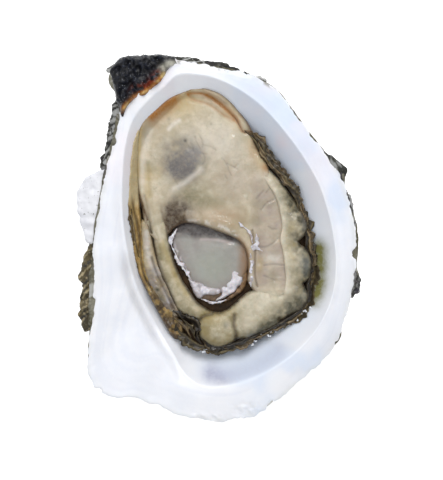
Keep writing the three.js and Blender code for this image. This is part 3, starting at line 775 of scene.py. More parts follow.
def body_masks(x, y, d):
    return {"shade": 0.5 * ramp(noise(x, y, 5, 214, 3), 0.0, 0.9)
        + 0.35 * near(x, y, [(-20.6, 30), (-18, 33.4), (-13, 37.6)], 2)
        + 0.5 * ramp(d, 1.6, 0.1) * ramp(y, 5, 20),
        "grey": 0.85 * blob(x, y, -10, 22, 6.4, 6.8, 3) * (0.85 + 0.35 * noise(x, y, 1.4, 211, 3))
        + 1.2 * blob(x, y, -10.5, 19.4, 2.8, 2.4) + 0.7 * blob(x, y, -6.9, 23.6, 2),
        "brown": (1.1 * blob(x, y, -12, 6.8, 3.4, 4.8, 3) + 0.9 * blob(x, y, -13.2, 4.2, 2, 2.8)
            + 0.5 * blob(x, y, -9.6, 7.6, 4, 4.4)) * (0.9 + 0.3 * noise(x, y, 1.8, 212, 3))
        * ramp(x + 0.16 * y, -15.0, -14.2),
        "olive": 1.2 * blob(x, y, -7.2, 12.4, 3.4, 2.8) * (0.7 + 0.6 * noise(x, y, 1.2, 216, 2))
        + 0.5 * blob(x, y, -4, 10.4, 6, 4) + 0.45 * ramp(noise(x, y, 5, 213, 2), 0.1, 0.9),
        "peach": 0.75 * blob(x, y, 0, 7.4, 7, 2) + 0.6 * blob(x, y, 3, 5.6, 5, 2)
        + 0.3 * near(x, y, HOOD, 2),
        "orange": 0.95 * near(x, y, [(-18.6, 34.2), (-16, 36.6), (-13, 38.6)], 1.2)
        + 0.5 * near(x, y, [(-18, 33), (-14, 36.4), (-12, 38.6)], 1.8) + 0.9 * near(x, y, CREASE, 0.42)
        + 0.5 * near(x, y, LOWER_CREASE, 0.42) + 0.4 * near(x, y, [(-3, 39.6), (2, 36.2), (5, 33)], 1.1)
        + 0.7 * blob(x, y, 13, 19.8, 1.6, 1.2)
        + 0.75 * near(x, y, [(5.4, -0.6), (7.2, -3.4), (7.4, -9)], 1.0)
        + 0.3 * blob(x, y, 9.6, 24, 1.8, 3),
        "yellow": 0.8 * near(x, y, OLIVE_STRIPE, 0.6) + 0.5 * near(x, y, INNER_STRIPE, 1.0)
        + 0.7 * blob(x, y, -11, 37.5, 6.5, 4)
        + 0.45 * near(x, y, [(2, 35), (6, 30.6), (9, 26), (12, 21)], 1.8)
        + 0.7 * blob(x, y, 11.2, -7, 0.9, 1.8)
        + 0.3 * ramp(noise(x, y, 6, 215, 2), 0.1, 0.8) * ramp(x, -6, -12) * ramp(y, 8, 14),
        "mauve": 0.85 * ramp(x, 7.5, 11.5) * ramp(y, 21, 13) * ramp(y, -16, -11)
        * (0.8 + 0.3 * noise(x, y, 2, 217, 3)) + 0.45 * blob(x, y, 4, 16, 6),
        # Pale tissue, with painted highlights: the streak at the upper left, the broken line along the
        # hood and the dot at (11, -7).
        "pale": 0.5 * near(x, y, SPOT_LINE, 0.8)
        + 0.7 * near(x, y, [(-13.8, 30.4), (-12.4, 32), (-11, 32.8)], 0.6) + 0.4 * blob(x, y, 0, 27, 8, 6)
        + 0.6 * near(x, y, [(14, -5), (16, -5.4)], 1.2)
        + 0.8 * near(x, y, [(-8.4, 5), (-3, 4.6), (2, 2.8), (4.6, 1.4)], 0.6)
        * ramp(noise(x, y, 0.9, 218, 2), -0.5, 0.3) + 0.6 * blob(x, y, 11, -7, 0.5)
        + 0.5 * blob(x, y, 9, -11, 0.9, 1.8) + 0.4 * near(x, y, [(-19, 30), (-20.8, 24), (-21, 16)], 1.0),
        "vein": 0.26 * total(BODY_VEINS, x, y, 0.22) + 0.36 * total(MEMBRANE_VEINS, x, y, 0.26)
        + blob(x, y, -9.3, 27.3, 0.42) + 0.4 * blob(x, y, -2.2, 31.8, 0.4)
        + 0.35 * blob(x, y, -13.8, 33.2, 0.5) + 0.3 * blob(x, y, -13.6, 32, 0.3),
        # Painted shade: dark brown along the body's edge, its creases, the left line, the fold's edge and
        # the torn line, where the surface drops.
        "deepedge": (0.75 * ramp(d, 0.8, 0.0)
            + 0.55 * ramp(d, 1.6, 0.2) * ramp(x, 4, 9) * ramp(y, 19, 24))
        * (1 - ramp(x, -13, -15.4) * ramp(y, 7, 3)) + 0.9 * near(x, y, CREASE, 0.16) * ramp(x, 0, 6)
        + 0.9 * near(x, y, LEFT_LINE, 0.38) * ramp(y, 24, 12)
        + 0.6 * near(x, y, FOLD_EDGE, 0.4) * ramp(y, 11.5, 7) + 0.35 * total(FOLD_CREASES, x, y, 0.5)
        + 0.7 * near(x, y, TORN_LINE, 0.26)}


body_material = tissue("body_tissue", FLESH_LIGHT, FLESH_DARK,
    [("shade", (0.36, 0.29, 0.18), 1.0), ("mauve", (0.39, 0.32, 0.275), 1.0),
        ("yellow", (0.46, 0.34, 0.14), 1.0), ("olive", (0.27, 0.235, 0.14), 1.0),
        ("peach", (0.42, 0.31, 0.2), 0.8), ("grey", (0.125, 0.114, 0.11), 1.0),
        ("brown", (0.07, 0.045, 0.026), 1.0), ("orange", (0.36, 0.15, 0.03), 1.0),
        ("pale", (0.74, 0.69, 0.62), 1.0), ("vein", (0.09, 0.075, 0.065), 1.0),
        ("deepedge", (0.1, 0.055, 0.025), 1.0)], mottle_mm=3.0)
slab("body", BODY, body_top, deep, body_masks, body_material, ["visceral_mass", "mantle_upper_lobe"],
    spacing=0.36)

RIDGE = [(10.5, 19), (12.6, 17), (15, 14.2), (16.6, 10.4), (17.6, 5), (17.2, 0), (18, -5), (18.6, -10),
    (18.4, -14)]
NOTCHES = [[(22, -0.5), (23.4, -0.9), (26, -0.5)], [(23.6, -12.4), (25, -13), (26.4, -12.8)],
    [(16.6, -21.8), (17.8, -23.8)], [(4.3, -21), (4.1, -23.6), (4.7, -26), (4.6, -29)],
    [(-5.4, -22.2), (-4.2, -21.2), (-2, -20.6)]]
BULGES = ((21.6, 4.4, 3.4, 1.2), (22.6, -6.4, 4.4, 1.3), (22.2, -16.4, 3.6, 1.2), (-0.4, -25, 4.4, 1.5),
    (9, -23, 4, 1.0), (15, -19, 4, 0.6), (-8, -19.4, 3, 0.3))


def mantle_drop(x, y):
    """How far the mantle's edge falls: little where it runs on into the membrane or the body."""
    runs_on = np.maximum(near(x, y, RIDGE, 1.6), ramp(y, -1, 4) * ramp(x, -13, -15.4))
    runs_on = np.maximum(runs_on, blob(x, y, 14, -14.8, 4, 2.4))
    return 1.8 - 1.5 * np.clip(runs_on, 0, 1)


def mantle_top(x, y, d):
    blend = ramp(y, -2, 5) * ramp(x, -12, -14)
    z = (meat_height(x, y) + 0.1 * (1 - blend) + 0.16 * noise(x, y, 3, 221, 2) * (1 - blend)
        + long_fold(x, y))
    z = z + 0.06 * noise(x, y, 0.9, 222, 3) * (1 - blend) - 1.5 * ramp(y, 4, 7.5) * ramp(x, 0, -5)
    for cx, cy, r, h in BULGES:
        z = z + h * blob(x, y, cx, cy, r, r, 3)
    z = z + 0.3 * near(x, y, RIDGE, 1.2)
    for notch in NOTCHES:
        z = z - 1.0 * near(x, y, notch, 0.6)
    return z - rounded(d, 2.2, 1.0) * mantle_drop(x, y)


def mantle_masks(x, y, d):
    return {"mottle": 0.6 * ramp(noise(x, y, 1.6, 235, 3), -0.1, 0.9)
        + 0.4 * ramp(noise(x, y, 4, 236, 2), 0, 0.8)
        + 0.45 * ramp(y, -17, -22) * ramp(noise(x, y, 1.2, 239, 3), -0.2, 0.5)
        + 0.4 * ramp(x, 19, 23) * ramp(noise(x, y, 1.2, 240, 3), -0.2, 0.5),
        "shade": 1.05 * ramp(from_meat_edge(x, y), 8.4, 1.4) * ramp(x, 8, 15) * ramp(y, 18, 9)
        * (0.8 + 0.7 * noise(x, y, 1.4, 234, 3)) + 0.5 * blob(x, y, 21.4, -17.6, 3.6, 3, 3)
        + 0.85 * ramp(from_meat_edge(x, y), 6.4, 1.6) * ramp(y, -18, -23) * (0.55 + 0.45 * ramp(x, 3, 7)),
        "blue": 0.5 * blob(x, y, 24.2, -6.6, 1.8, 3) + 0.4 * blob(x, y, 24, -15.6, 1.6, 1.6)
        + 0.9 * blob(x, y, 9.4, -27, 1.6, 0.9) + 0.4 * blob(x, y, 24, 4, 1.2, 2)
        + 0.4 * blob(x, y, 2, -23.6, 1, 1),
        # Painted shade: dark where the mantle's edge rolls down, and near the flesh's outer edge on the
        # right.
        "rim": 0.9 * ramp(d, 1.0, 0.1) * (0.75 + 0.5 * noise(x, y, 1, 231, 2))
        * ramp(mantle_drop(x, y), 0.5, 1.3) + 0.5 * ramp(from_meat_edge(x, y), 2.8, 1.4) * ramp(x, 4, 8),
        # Pale cream tissue on the ridge, the bulges and the lower lobes, lighter on their tops: partly
        # tissue colour, partly painted highlight.
        "pale": 0.65 * near(x, y, RIDGE, 1.3) + 0.6 * blob(x, y, 12, -17, 6, 3.4)
        + 0.5 * blob(x, y, 8, -22.6, 3) + 0.4
        * near(x, y, [(-16.6, 3), (-14.8, -3), (-12.8, -9), (-10, -14)], 0.9)
        * ramp(noise(x, y, 2.5, 237, 2), -0.4, 0.4) + 0.4 * blob(x, y, 21.6, -6, 2.4, 2.6)
        + 0.4 * blob(x, y, 21, 4.4, 2, 2),
        "yellow": 0.5 * blob(x, y, -2.4, -21.6, 3.6, 2.2)
        + 0.5 * near(x, y, [(-15.4, -1), (-13.6, -6), (-12, -10), (-8.8, -15)], 0.9)
        + 0.5 * near(x, y, [(20.2, 9), (20.2, 1), (20.4, -5)], 1.1)
        * ramp(noise(x, y, 3, 238, 2), -0.5, 0.5)
        + 0.5 * near(x, y, [(-4.6, -25.4), (-1, -28.6), (2.6, -27.6)], 1.2)
        + 0.3 * blob(x, y, 2.4, -19.6, 2.6, 1.6),
        # Painted shade in the notches and fold creases and along the left edge.
        "crease": 0.8 * total(NOTCHES, x, y, 0.42) + 0.8 * total(FOLD_CREASES, x, y, 0.38)
        + 0.6 * ramp(d, 0.8, 0.0) * ramp(x, 4, -2) * (1 - ramp(y, 0, 5))
        + 0.5 * near(x, y, [(-17.6, -3), (-16, -8), (-14, -13), (-12, -18)], 0.5)}


mantle_material = tissue("mantle_tissue", (0.54, 0.475, 0.34), (0.39, 0.34, 0.225),
    [("mottle", (0.24, 0.2, 0.1), 0.9), ("pale", (0.7, 0.64, 0.52), 1.0),
        ("yellow", (0.4, 0.3, 0.11), 1.0), ("shade", (0.085, 0.078, 0.05), 1.0),
        ("blue", (0.17, 0.19, 0.2), 1.0), ("crease", (0.06, 0.04, 0.022), 1.0),
        ("rim", (0.05, 0.036, 0.022), 1.0)], mottle_mm=1.8)
slab("mantle_rim", MANTLE, mantle_top, deep, mantle_masks, mantle_material, ["mantle_upper_lobe"],
    spacing=0.34)

# A near-black sheet 3.2 mm below all the flesh: painted shade that shows in the gaps between the folds.
slab("shade_bed", [(x * 0.96, y * 0.98) for x, y in MEAT_EDGE],
    lambda x, y, d: meat_height(x, y) - 3.2 + 0.2 * noise(x, y, 1.5, 241, 3) - rounded(d, 1.5, 1), deep,
    None, tissue("shade_bed_tissue", (0.06, 0.032, 0.012), (0.022, 0.012, 0.006), [], (0.6, 0.8), coat=0.0,
        scatter=0.0), ["mantle_lower_lobe"], spacing=0.7)

FOLD_CREASE = [(-24, 15), (-23.8, 10), (-22.8, 5), (-22, 0), (-21.6, -5), (-20.6, -10), (-18.6, -14)]
CURL = [(-24.6, 9), (-24.8, 6.4), (-24, 4.6), (-23.4, 3), (-23.6, 1)]


def left_fold_top(x, y, d):
    z = meat_height(x, y) - 0.4 + 0.35 * noise(x * 2, y, 2.4, 251, 2) + 0.12 * noise(x, y, 0.8, 254, 2)
    z = z - 0.7 * near(x, y, FOLD_CREASE, 0.35) * ramp(y, 13, 9) - 0.3 * near(x, y, CURL, 0.3)
    z = z + 0.6 * ramp(y, -16, -22) * noise(x, y, 2.4, 255, 3)
    z = np.maximum(z, cup_height(x, y) + FLESH_OVER_SHELL)
    return z - rounded(d, 1.0, 1.3)


slab("mantle_left_fold", LEFT_FOLD, left_fold_top, deep,
    lambda x, y, d: {"mottle": ramp(noise(x, y * 0.6, 1.4, 256, 3), -0.2, 0.8),
        # Painted shade at the fold's edge and in its crease and curl.
        "edge": 0.85 * ramp(d, 0.6, 0.0) * ramp(y, 13, 8) + 0.2 * ramp(d, 0.4, 0.0)
        + 0.85 * near(x, y, FOLD_CREASE, 0.3) * ramp(y, 13, 9) + 0.7 * near(x, y, CURL, 0.25),
        "grey": 0.7 * blob(x, y, -24.4, 5, 1.2, 1.8) + 0.95 * ramp(y, 7.5, 12),
        "brown": ramp(noise(x, y, 1.6, 252, 3), -0.15, 0.35) * ramp(y, -8, -18)
        + 0.6 * ramp(y, 8, 2) * ramp(noise(x, y * 0.5, 1.6, 253, 3), 0, 0.8)},
    tissue("fold_tissue", (0.46, 0.33, 0.13), (0.32, 0.2, 0.065),
        [("mottle", (0.2, 0.125, 0.045), 0.8), ("grey", (0.5, 0.42, 0.26), 0.9),
            ("brown", (0.06, 0.038, 0.02), 1.0), ("edge", (0.045, 0.026, 0.013), 1.0)], mottle_mm=1.2),
    ["mantle_lower_lobe"], spacing=0.32)

slab("gill_lobe", GILL, lambda x, y, d: meat_height(x, y) - 0.4
    + 0.05 * np.sin(y * 4 + x * 3) * ramp(y, -8, -12) + 0.25 * noise(x, y, 1.8, 257, 3)
    - 0.5 * near(x, y, [(-18.6, -5), (-17, -10), (-14.6, -15), (-12.6, -19)], 0.4) - rounded(d, 0.9, 1.3),
    deep, lambda x, y, d: {"violet": ramp(y, -5, -11) * (0.65 + 0.5 * noise(x, y, 1.4, 258, 3)),
        "white": 0.6 * near(x, y, [(-20, 2), (-19.8, -2), (-19, -6), (-17, -9.4)], 0.9)
        + 0.7 * near(x, y, [(-15.4, -13.6), (-13.8, -17.4)], 0.5),
        # Painted shade along the gill's edge, in its crease and at its lower end.
        "crease": 0.9 * ramp(d, 0.6, 0.0)
        + 0.7 * near(x, y, [(-18.6, -5), (-17, -10), (-14.6, -15), (-12.6, -19)], 0.35)
        + 0.6 * blob(x, y, -14.4, -19.4, 2.2, 2),
        "spot": blob(x, y, -17, -13.8, 0.7) + 0.6 * blob(x, y, -16, -16, 1, 1.6)},
    tissue("gill_tissue", (0.44, 0.36, 0.22), (0.33, 0.26, 0.15),
        [("violet", (0.2, 0.17, 0.15), 1.0), ("white", (0.6, 0.57, 0.56), 1.0),
            ("spot", (0.03, 0.03, 0.02), 1.0), ("crease", (0.07, 0.042, 0.022), 1.0)], mottle_mm=1.2),
    ["gills"], spacing=0.3)


def directions(line):
    """Unit steps along a line and to its right."""
    ahead = np.gradient(line, axis=0)
    ahead /= np.linalg.norm(ahead, axis=1)[:, None]
    return ahead, np.stack([ahead[:, 1], -ahead[:, 0]], 1)


def there_and_back(start, count):
    """Places across a leaf, over its top and back under it, with 1 above and -1 below."""
    v = np.linspace(start, 1, count)
    return np.concatenate([v, v[::-1]])[None, :], np.repeat([1.0, -1.0], count)[None, :]


def frill(name, path, width, lift, ruffle, fold_mm, level, tint, seed, tilt=0.0):
    """A ruffled fringe along a path: a thin leaf that folds and curls towards its ragged free edge."""
    step, across = 0.16, 9
    line = curve(path, step, False)
    ahead, side = directions(line)
    if np.sum((line - line.mean(0)) * side) < 0:
        side = -side
    arc = np.arange(len(line)) * step
    ends = ramp(arc, 0, 5) * ramp(arc[-1] - arc, 0, 2.5)
    swell = noise(arc, seed, fold_mm, seed, 2) * ends
    slide = noise(arc, seed + 9, fold_mm * 0.9, seed + 6, 2) * ends
    reach = width * (0.8 + 0.45 * noise(arc, 3.3, 3.4, seed + 1, 3)) * (0.12 + 0.88 * ends)
    ragged = 0.3 * noise(arc, 8, 0.7, seed + 2, 2)
    base = meat_height(line[:, 0], line[:, 1]) + level
    v, over = there_and_back(0, across)
    out = v * reach[:, None] + (0.7 * ruffle * slide + ragged)[:, None] * v**2 - 0.6
    along = 0.8 * ruffle * swell[:, None] * v**2
    thick = 0.24 * (1 - 0.55 * v)
    rib = np.sin(v * 9 + 3 * noise(arc, 1, 4, seed + 8, 2)[:, None])
    z = (base[:, None] + lift * np.sin(v * 2.2) + tilt * v + ruffle * swell[:, None] * v**1.3 + 0.14 * rib
        + over * thick)
    x = line[:, 0:1] + side[:, 0:1] * out + ahead[:, 0:1] * along
    y = line[:, 1:2] + side[:, 1:2] * out + ahead[:, 1:2] * along
    tip = ramp(v, 0.6, 1.0) * (0.5 + 0.7 * noise(arc, 5, 1.1, seed + 4, 2))[:, None]
    crown = ramp(rib, 0.2, 0.9) * (0.6 + 0.6 * noise(arc, 2, 1.6, seed + 5, 3))[:, None]
    z = np.maximum(z, cup_height(x, y) + FRINGE_OVER_SHELL + over * thick)
    band(name, np.stack([x, y, z], 2), {"tip": np.clip(tip, 0, 1), "crown": np.clip(crown, 0, 1)}, tint,
        ["mantle_lower_lobe"])


dark_fringe = tissue("dark_fringe", (0.06, 0.046, 0.025), (0.016, 0.012, 0.008),
    [("crown", (0.22, 0.17, 0.075), 0.85), ("tip", (0.05, 0.04, 0.02), 0.7)], (0.3, 0.5), mottle_mm=0.9,
    scatter=0.05, coat=0.25)
brown_fringe = tissue("brown_fringe", (0.13, 0.09, 0.04), (0.045, 0.03, 0.015),
    [("crown", (0.33, 0.25, 0.14), 0.8), ("tip", (0.03, 0.02, 0.01), 0.9)], (0.26, 0.45), mottle_mm=0.9,
    scatter=0.1, coat=0.25)
black_fringe = tissue("black_fringe", (0.02, 0.015, 0.01), (0.008, 0.006, 0.005),
    [("crown", (0.1, 0.075, 0.04), 0.7), ("tip", (0.015, 0.012, 0.008), 0.9)], (0.25, 0.45),
    mottle_mm=0.9, scatter=0.05, coat=0.35)
RIGHT_EDGE = [(8.6, 30.4), (11, 27.4), (13.8, 23.2), (16.8, 19.4), (20, 15), (22.4, 10.4), (24.4, 5.4),
    (25.1, 1), (25, -1), (26, -5), (26.2, -10.4), (25.2, -13), (25.1, -17.2), (23, -20.2), (18.8, -23),
    (13.8, -25.8), (8.2, -28.2), (4.4, -29.6), (-1.4, -30.4), (-4.8, -28.8)]
frill("fringe_outer", RIGHT_EDGE[:12] + [(24.7, -16.6), (22.5, -19.8)] + RIGHT_EDGE[14:], 2.2, 0.4, 0.45,
    1.3, -1.3, dark_fringe, 301, tilt=-0.5)
frill("fringe_middle", [(x * 0.99, y * 0.99) for x, y in RIGHT_EDGE], 1.6, 0.5, 0.5, 1.2, -1.0,
    brown_fringe, 311)
frill("fringe_inner", [(x * 0.975, y * 0.975) for x, y in RIGHT_EDGE[6:]], 1.5, 0.4, 0.35, 1.3, -0.35,
    black_fringe, 316)
frill("fringe_top_low", [(8.2, 31), (10.4, 28.4), (12.6, 25), (15, 21.4), (18, 17.8), (20.4, 13.6),
    (22.4, 9)], 1.6, 0.4, 0.5, 1.8, -1.2, brown_fringe, 317)
frill("fringe_top", [(7.4, 30.4), (9.8, 27.6), (11.8, 24.4), (13.8, 21), (16.6, 18), (19.4, 14.6),
    (21.6, 11), (22.6, 8)], 2.2, 0.5, 0.5, 1.5, -0.5, dark_fringe, 321)
frill("fringe_top_dark", [(8.6, 29.6), (10.4, 26.4), (12.2, 23.2), (14.2, 20), (17, 17.4), (19.4, 14)],
    1.3, 0.4, 0.35, 1.2, -0.1, brown_fringe, 326)
frill("fringe_corner", [(-4.6, -28.6), (-6.4, -26.4), (-6.6, -24), (-7.2, -22.6), (-10, -21.4),
    (-12.6, -19.4)], 3.2, 0.8, 0.9, 1.4, -0.7, black_fringe, 331)
frill("fringe_corner_low", [(-2, -30.6), (-5.4, -29.6), (-8.2, -27.8), (-10.6, -25.6), (-12, -22.6)], 2.5,
    0.4, 0.6, 1.5, -1.0, dark_fringe, 341)
frill("fringe_corner_edge", [(1, -31), (-3, -30.9), (-6.4, -29.8), (-9.4, -28), (-11.6, -26.4)], 1.2, 0.3,
    0.4, 1.3, -1.4, brown_fringe, 346)
frill("fringe_corner_brown", [(-12.6, -20.6), (-10.4, -23), (-8.4, -25.2), (-7, -27.4)], 1.7, 0.6, 0.9,
    1.1, -0.3, brown_fringe, 361)
frill("fringe_corner_inner", [(-10.2, -21), (-8.6, -23), (-7.2, -25), (-6.2, -27)], 1.4, 0.7, 0.8, 1.0,
    0.0, dark_fringe, 366)
frill("fringe_left", [(-16.4, -19.6), (-19.4, -14), (-21.6, -8.6), (-23, -3), (-24, 3), (-24.6, 8.4)],
    1.0, 0.3, 0.3, 2.2, -1.2, brown_fringe, 351)


def beads(name, path, count, spread, seed):
    """Beads of clear liquor that cling to the fringe, coloured white as painted glints."""
    random = np.random.default_rng(seed)
    line = curve(path, 0.3, False)
    around = 8
    turn = 2 * np.pi * np.arange(around) / around
    tilts = np.pi * np.arange(1, 6) / 6
    ball = ([[0, 0, 1]] + [[math.sin(a) * math.cos(t), math.sin(a) * math.sin(t), math.cos(a)]
        for a in tilts for t in turn])
    ball = np.array(ball + [[0, 0, -1]])
    ball_faces = outward(ball, loft_faces(len(tilts), around))
    points, faces = [], []
    for k in range(count):
        x, y = line[random.integers(len(line))] + random.normal(0, spread, 2)
        size = random.uniform(0.14, 0.34)
        z = max(float(meat_height(x, y)) - 0.95, float(cup_height(x, y)) + FRINGE_OVER_SHELL) + 0.5 * size
        points.append(ball * size + [x, y, z])
        faces += [[v + k * len(ball) for v in f] for f in ball_faces]
    # The beads' opaque white is a painted glint, standing in for light caught on clear drops.
    glint_white_liquor = tissue("glint_white_liquor", (0.8, 0.82, 0.86), (0.66, 0.68, 0.72), [], (0.06, 0.12), scatter=0.0,
        coat=0.6, grain=0.0, pepper=0.0)
    make_piece(name, np.vstack(points), faces, {}, glint_white_liquor, ["mantle_lower_lobe"])


beads("glint_beads", [(25, -18.6), (22.8, -21), (19, -23.2), (14, -26.2), (9, -28.8)], 46, 0.45, 611)
beads("glint_beads_left", [(-11.4, -26), (-9, -28.2), (-6, -30), (-2, -31)], 16, 0.4, 613)

# ---------------------------------------------------------------- the adductor
# The upper part of the disc, under the hood fold, is painted near-black as the hood's shadow.
slab("adductor_disc", QUICK_MUSCLE, lambda x, y, d: meat_height(x, y) - 1.7
    + 0.05 * noise(x, y, 1.6, 261, 2) - 0.8 * ramp(y + 0.24 * x, -3, 3) + 0.25 * blob(x, y, -2, -6, 6)
    - rounded(d, 1.4, 0.8), deep, lambda x, y, d: {"char": ramp(y + 0.12 * x
        + 0.7 * noise(x * 0.5, y, 1.6, 265, 2), -1.2, 0.8)
        * (0.95 + 0.25 * noise(x + 0.6 * y, 0.5 * y, 1.6, 263, 3)),
        "smoke": 0.6 * ramp(noise(x * 0.6, y, 1.8, 264, 3), -0.1, 0.6) * blob(x, y, -9, -1, 4, 2)
        + 0.55 * ramp(d, 3.6, 0.4) * (0.8 + 0.4 * noise(x, y, 1.5, 267, 2)),
        "green": 0.8 * blob(x, y, -2.0, -7.6, 5, 4.4, 3),
        "pink": 0.55 * near(x, y, [(-5, 0), (-2, 0), (1, -0.4), (3.6, -1)], 0.4),
        "warm": ramp(x, 4.2, 7.2) * 0.9 * ramp(y, 3, -2),
        "torn": ramp(d + 0.5 * noise(x, y, 0.8, 262, 2), 0.9, 0.4) * ramp(y, 1, -3) * ramp(x, 2, -2)},
    tissue("quick_tissue", (0.36, 0.345, 0.315), (0.31, 0.3, 0.27),
        [("green", (0.345, 0.355, 0.305), 1.0), ("smoke", (0.235, 0.185, 0.18), 1.0),
            # The near-black tint is the hood's painted shadow.
            ("warm", (0.3, 0.19, 0.11), 1.0), ("char", (0.055, 0.043, 0.042), 1.0),
            ("pink", (0.6, 0.5, 0.48), 1.0), ("torn", (0.68, 0.63, 0.65), 1.0)], scatter=0.4,
        mottle_mm=3.0, grain=0.12, pepper=0.08), ["adductor_quick_muscle"], spacing=0.3)
catch_tissue = tissue("catch_tissue", (0.78, 0.75, 0.79), (0.6, 0.57, 0.6),
    [("grey", (0.34, 0.3, 0.3), 0.9)], mottle_mm=1.2, scatter=0.2, grain=0.5)


def white_patch(name, outline, level, seed, grey):
    """Opaque white muscle or membrane with a torn edge."""
    slab(name, outline, lambda x, y, d: meat_height(x, y) + level + 0.4 * noise(x, y, 1.0, seed, 3)
        - rounded(d, 0.8, 0.6), deep, lambda x, y, d: {"grey": grey
            * ramp(noise(x, y, 1.1, seed + 1, 3), -0.1, 0.6) + 0.5 * ramp(d, 0.5, 0)}, catch_tissue,
        ["adductor_catch_muscle"], spacing=0.32, jag=0.2, seed=seed)


white_patch("adductor_crescent", [(3.4, -9.2), (4.8, -8.8), (6.4, -11), (5.2, -13.2), (3, -15.2),
    (0.6, -16.8), (-1, -17), (-0.6, -16.2), (0.6, -15.2), (0.8, -13.2), (2, -12.2), (3.2, -11)], -1.3,
    271, 0.25)
slab("adductor_skirt", [(5.6, -8.6), (7.4, -8), (8.2, -10.4), (7.6, -12.6), (6.2, -14.6), (4, -16.4),
    (1.6, -17.6), (0.6, -17), (3, -15.2), (5, -13), (6.2, -11)],
    lambda x, y, d: meat_height(x, y) - 2.1 + 0.15 * noise(x, y, 1.2, 291, 2) - rounded(d, 0.8, 0.8),
    deep, lambda x, y, d: {"dark": ramp(noise(x, y, 1.1, 293, 3), -0.1, 0.5) * 0.8
        + 0.7 * ramp(d, 0.6, 0)}, tissue("skirt_tissue", (0.3, 0.18, 0.09), (0.16, 0.09, 0.04),
            [("dark", (0.04, 0.022, 0.01), 1.0)], mottle_mm=1.2), ["adductor_catch_muscle"], spacing=0.32)
white_patch("adductor_corner", [(-8.6, -10.6), (-7.2, -11.4), (-5, -12), (-2.4, -13.2), (0.2, -13.6),
    (0.2, -14.8), (-1.6, -15.3), (-4.2, -15.4), (-5.4, -16.2), (-7, -14.6), (-8, -12.4)], -1.4, 275, 0.75)
# A dark brown sheet low in the gap under the muscle's lower edge: a painted shadow.
slab("adductor_gap_shadow", [(-5, -15), (-1.6, -14.9), (0.6, -14.6), (0.4, -15.8), (-0.6, -17), (-3, -16.8),
    (-5.4, -16.2)], lambda x, y, d: meat_height(x, y) - 2.3, deep, None,
    tissue("gap_shadow_tissue", (0.2, 0.13, 0.08), (0.1, 0.065, 0.04), []), ["adductor_catch_muscle"],
    spacing=0.4)


def shred(name, path, width, level, thickness, seed, grey):
    """A torn strip of membrane: a thin ragged ribbon, wider here and there and crumpled."""
    line = curve(path, 0.2, False)
    _, side = directions(line)
    arc = np.arange(len(line)) * 0.2
    ends = 0.15 + 0.85 * ramp(arc, 0, 1.5) * ramp(arc[-1] - arc, 0, 1.5)
    left = width * ends * (0.7 + 0.7 * noise(arc, 1, 1.3, seed, 3))
    right = width * ends * (0.7 + 0.7 * noise(arc, 6, 1.0, seed + 1, 3))
    v, over = there_and_back(-1, 7)
    out = v * np.where(v < 0, np.maximum(left, 0.12)[:, None], np.maximum(right, 0.12)[:, None])
    x = line[:, 0:1] + side[:, 0:1] * out
    y = line[:, 1:2] + side[:, 1:2] * out
    crumple = 0.3 * noise(x, y, 0.9, seed + 2, 2)
    z = meat_height(x, y) + level + crumple + over * thickness * (1.05 - v**2)
    masks = {"grey": np.clip(grey * 2 * ramp(noise(x, y, 0.9, seed + 3, 3), -0.2, 0.8), 0, 1)}
    band(name, np.stack([x, y, z], 2), masks, catch_tissue, ["adductor_catch_muscle"])


shred("torn_edge_left", [(-11.6, 3), (-12.6, 1.6), (-13.2, -0.4), (-12.8, -2.6), (-12, -4)], 0.75, -0.6,
    0.2, 401, 0.15)
shred("torn_edge_low", [(-12.2, -3.6), (-11, -6), (-9.6, -8.4), (-8, -10.8)], 0.7, -0.7, 0.2, 405, 0.2)
shred("torn_edge_right", [(5.4, 4.8), (6.6, 3.6), (8, 2.4), (8.8, 0.6), (9.2, -1)], 0.45, 0.75, 0.14, 411,
    0.5)
shred("torn_edge_outer", [(10.2, 1.6), (10.6, 0), (10.2, -1.4), (9, -2.4), (8, -3.6)], 0.8, 0.45, 0.14,
    413, 0.35)
shred("torn_edge_fork", [(12, -3.2), (10.6, -2.6), (9.2, -2.6)], 0.45, 0.5, 0.14, 421, 0.3)
shred("torn_line", [(8.6, -3.8), (9, -6), (9, -9), (8.8, -11.4), (8.8, -13)], 0.5, 0.8, 0.14, 431, 0.85)
shred("torn_rim_low", [(-5, -16.4), (-3, -17.2), (0, -17.4), (2, -16.6)], 0.35, -1.2, 0.2, 451, 0.4)

LIGAMENT_EDGE = [(-26.2, 35.2), (-24.8, 37.2), (-22.6, 39.1), (-20, 40.4), (-17.4, 42.4), (-15, 45)]
slab("ligament", LIGAMENT, lambda x, y, d: cup_height(x, y) + 1.2 + 1.3 * noise(x, y, 2.0, 281, 4)
    - rounded(d, 1.2, 1.2), lambda x, y, z: np.minimum(cup_height(x, y) - 0.4, z - 0.3),
    lambda x, y, d: {"rust": near(x, y, [(-23, 40.6), (-20, 41.6), (-18, 43.2), (-16, 45.4)], 1.2)
        * ramp(noise(x, y, 1, 284, 2), -0.5, 0.4),
        "amber": near(x, y, LIGAMENT_EDGE, 0.7) * (0.75 + 0.5 * noise(x, y, 1, 283, 2)),
        "yellow": 0.7 * near(x, y, LIGAMENT_EDGE, 0.3) * ramp(noise(x, y, 1.2, 285, 2), -0.1, 0.6)
        + 0.8 * blob(x, y, -15, 45, 0.8),
        "cream": 0.9 * blob(x, y, -13, 47.8, 1.6, 1.0) + 0.6 * blob(x, y, -15.4, 46.8, 1)}, horn(),
    ["hinge_ligament"], spacing=0.35, jag=0.2)


# ---------------------------------------------------------------- loose flakes of the outer layers
def streaks(x, y, seed, slant):
    """Wavy growth lines that run along the rim, or at a slant over a twisted flake."""
    angle, r = polar(x, y)
    if slant:
        return noise(x * 0.35, (y + slant * x) * 1.7 + 0.6 * noise(x, y, 4, seed + 7), 0.8, seed, 3)
    return noise(angle * 8, r * 1.4 + 0.5 * noise(x, y, 3, seed + 7), 0.8, seed, 3)


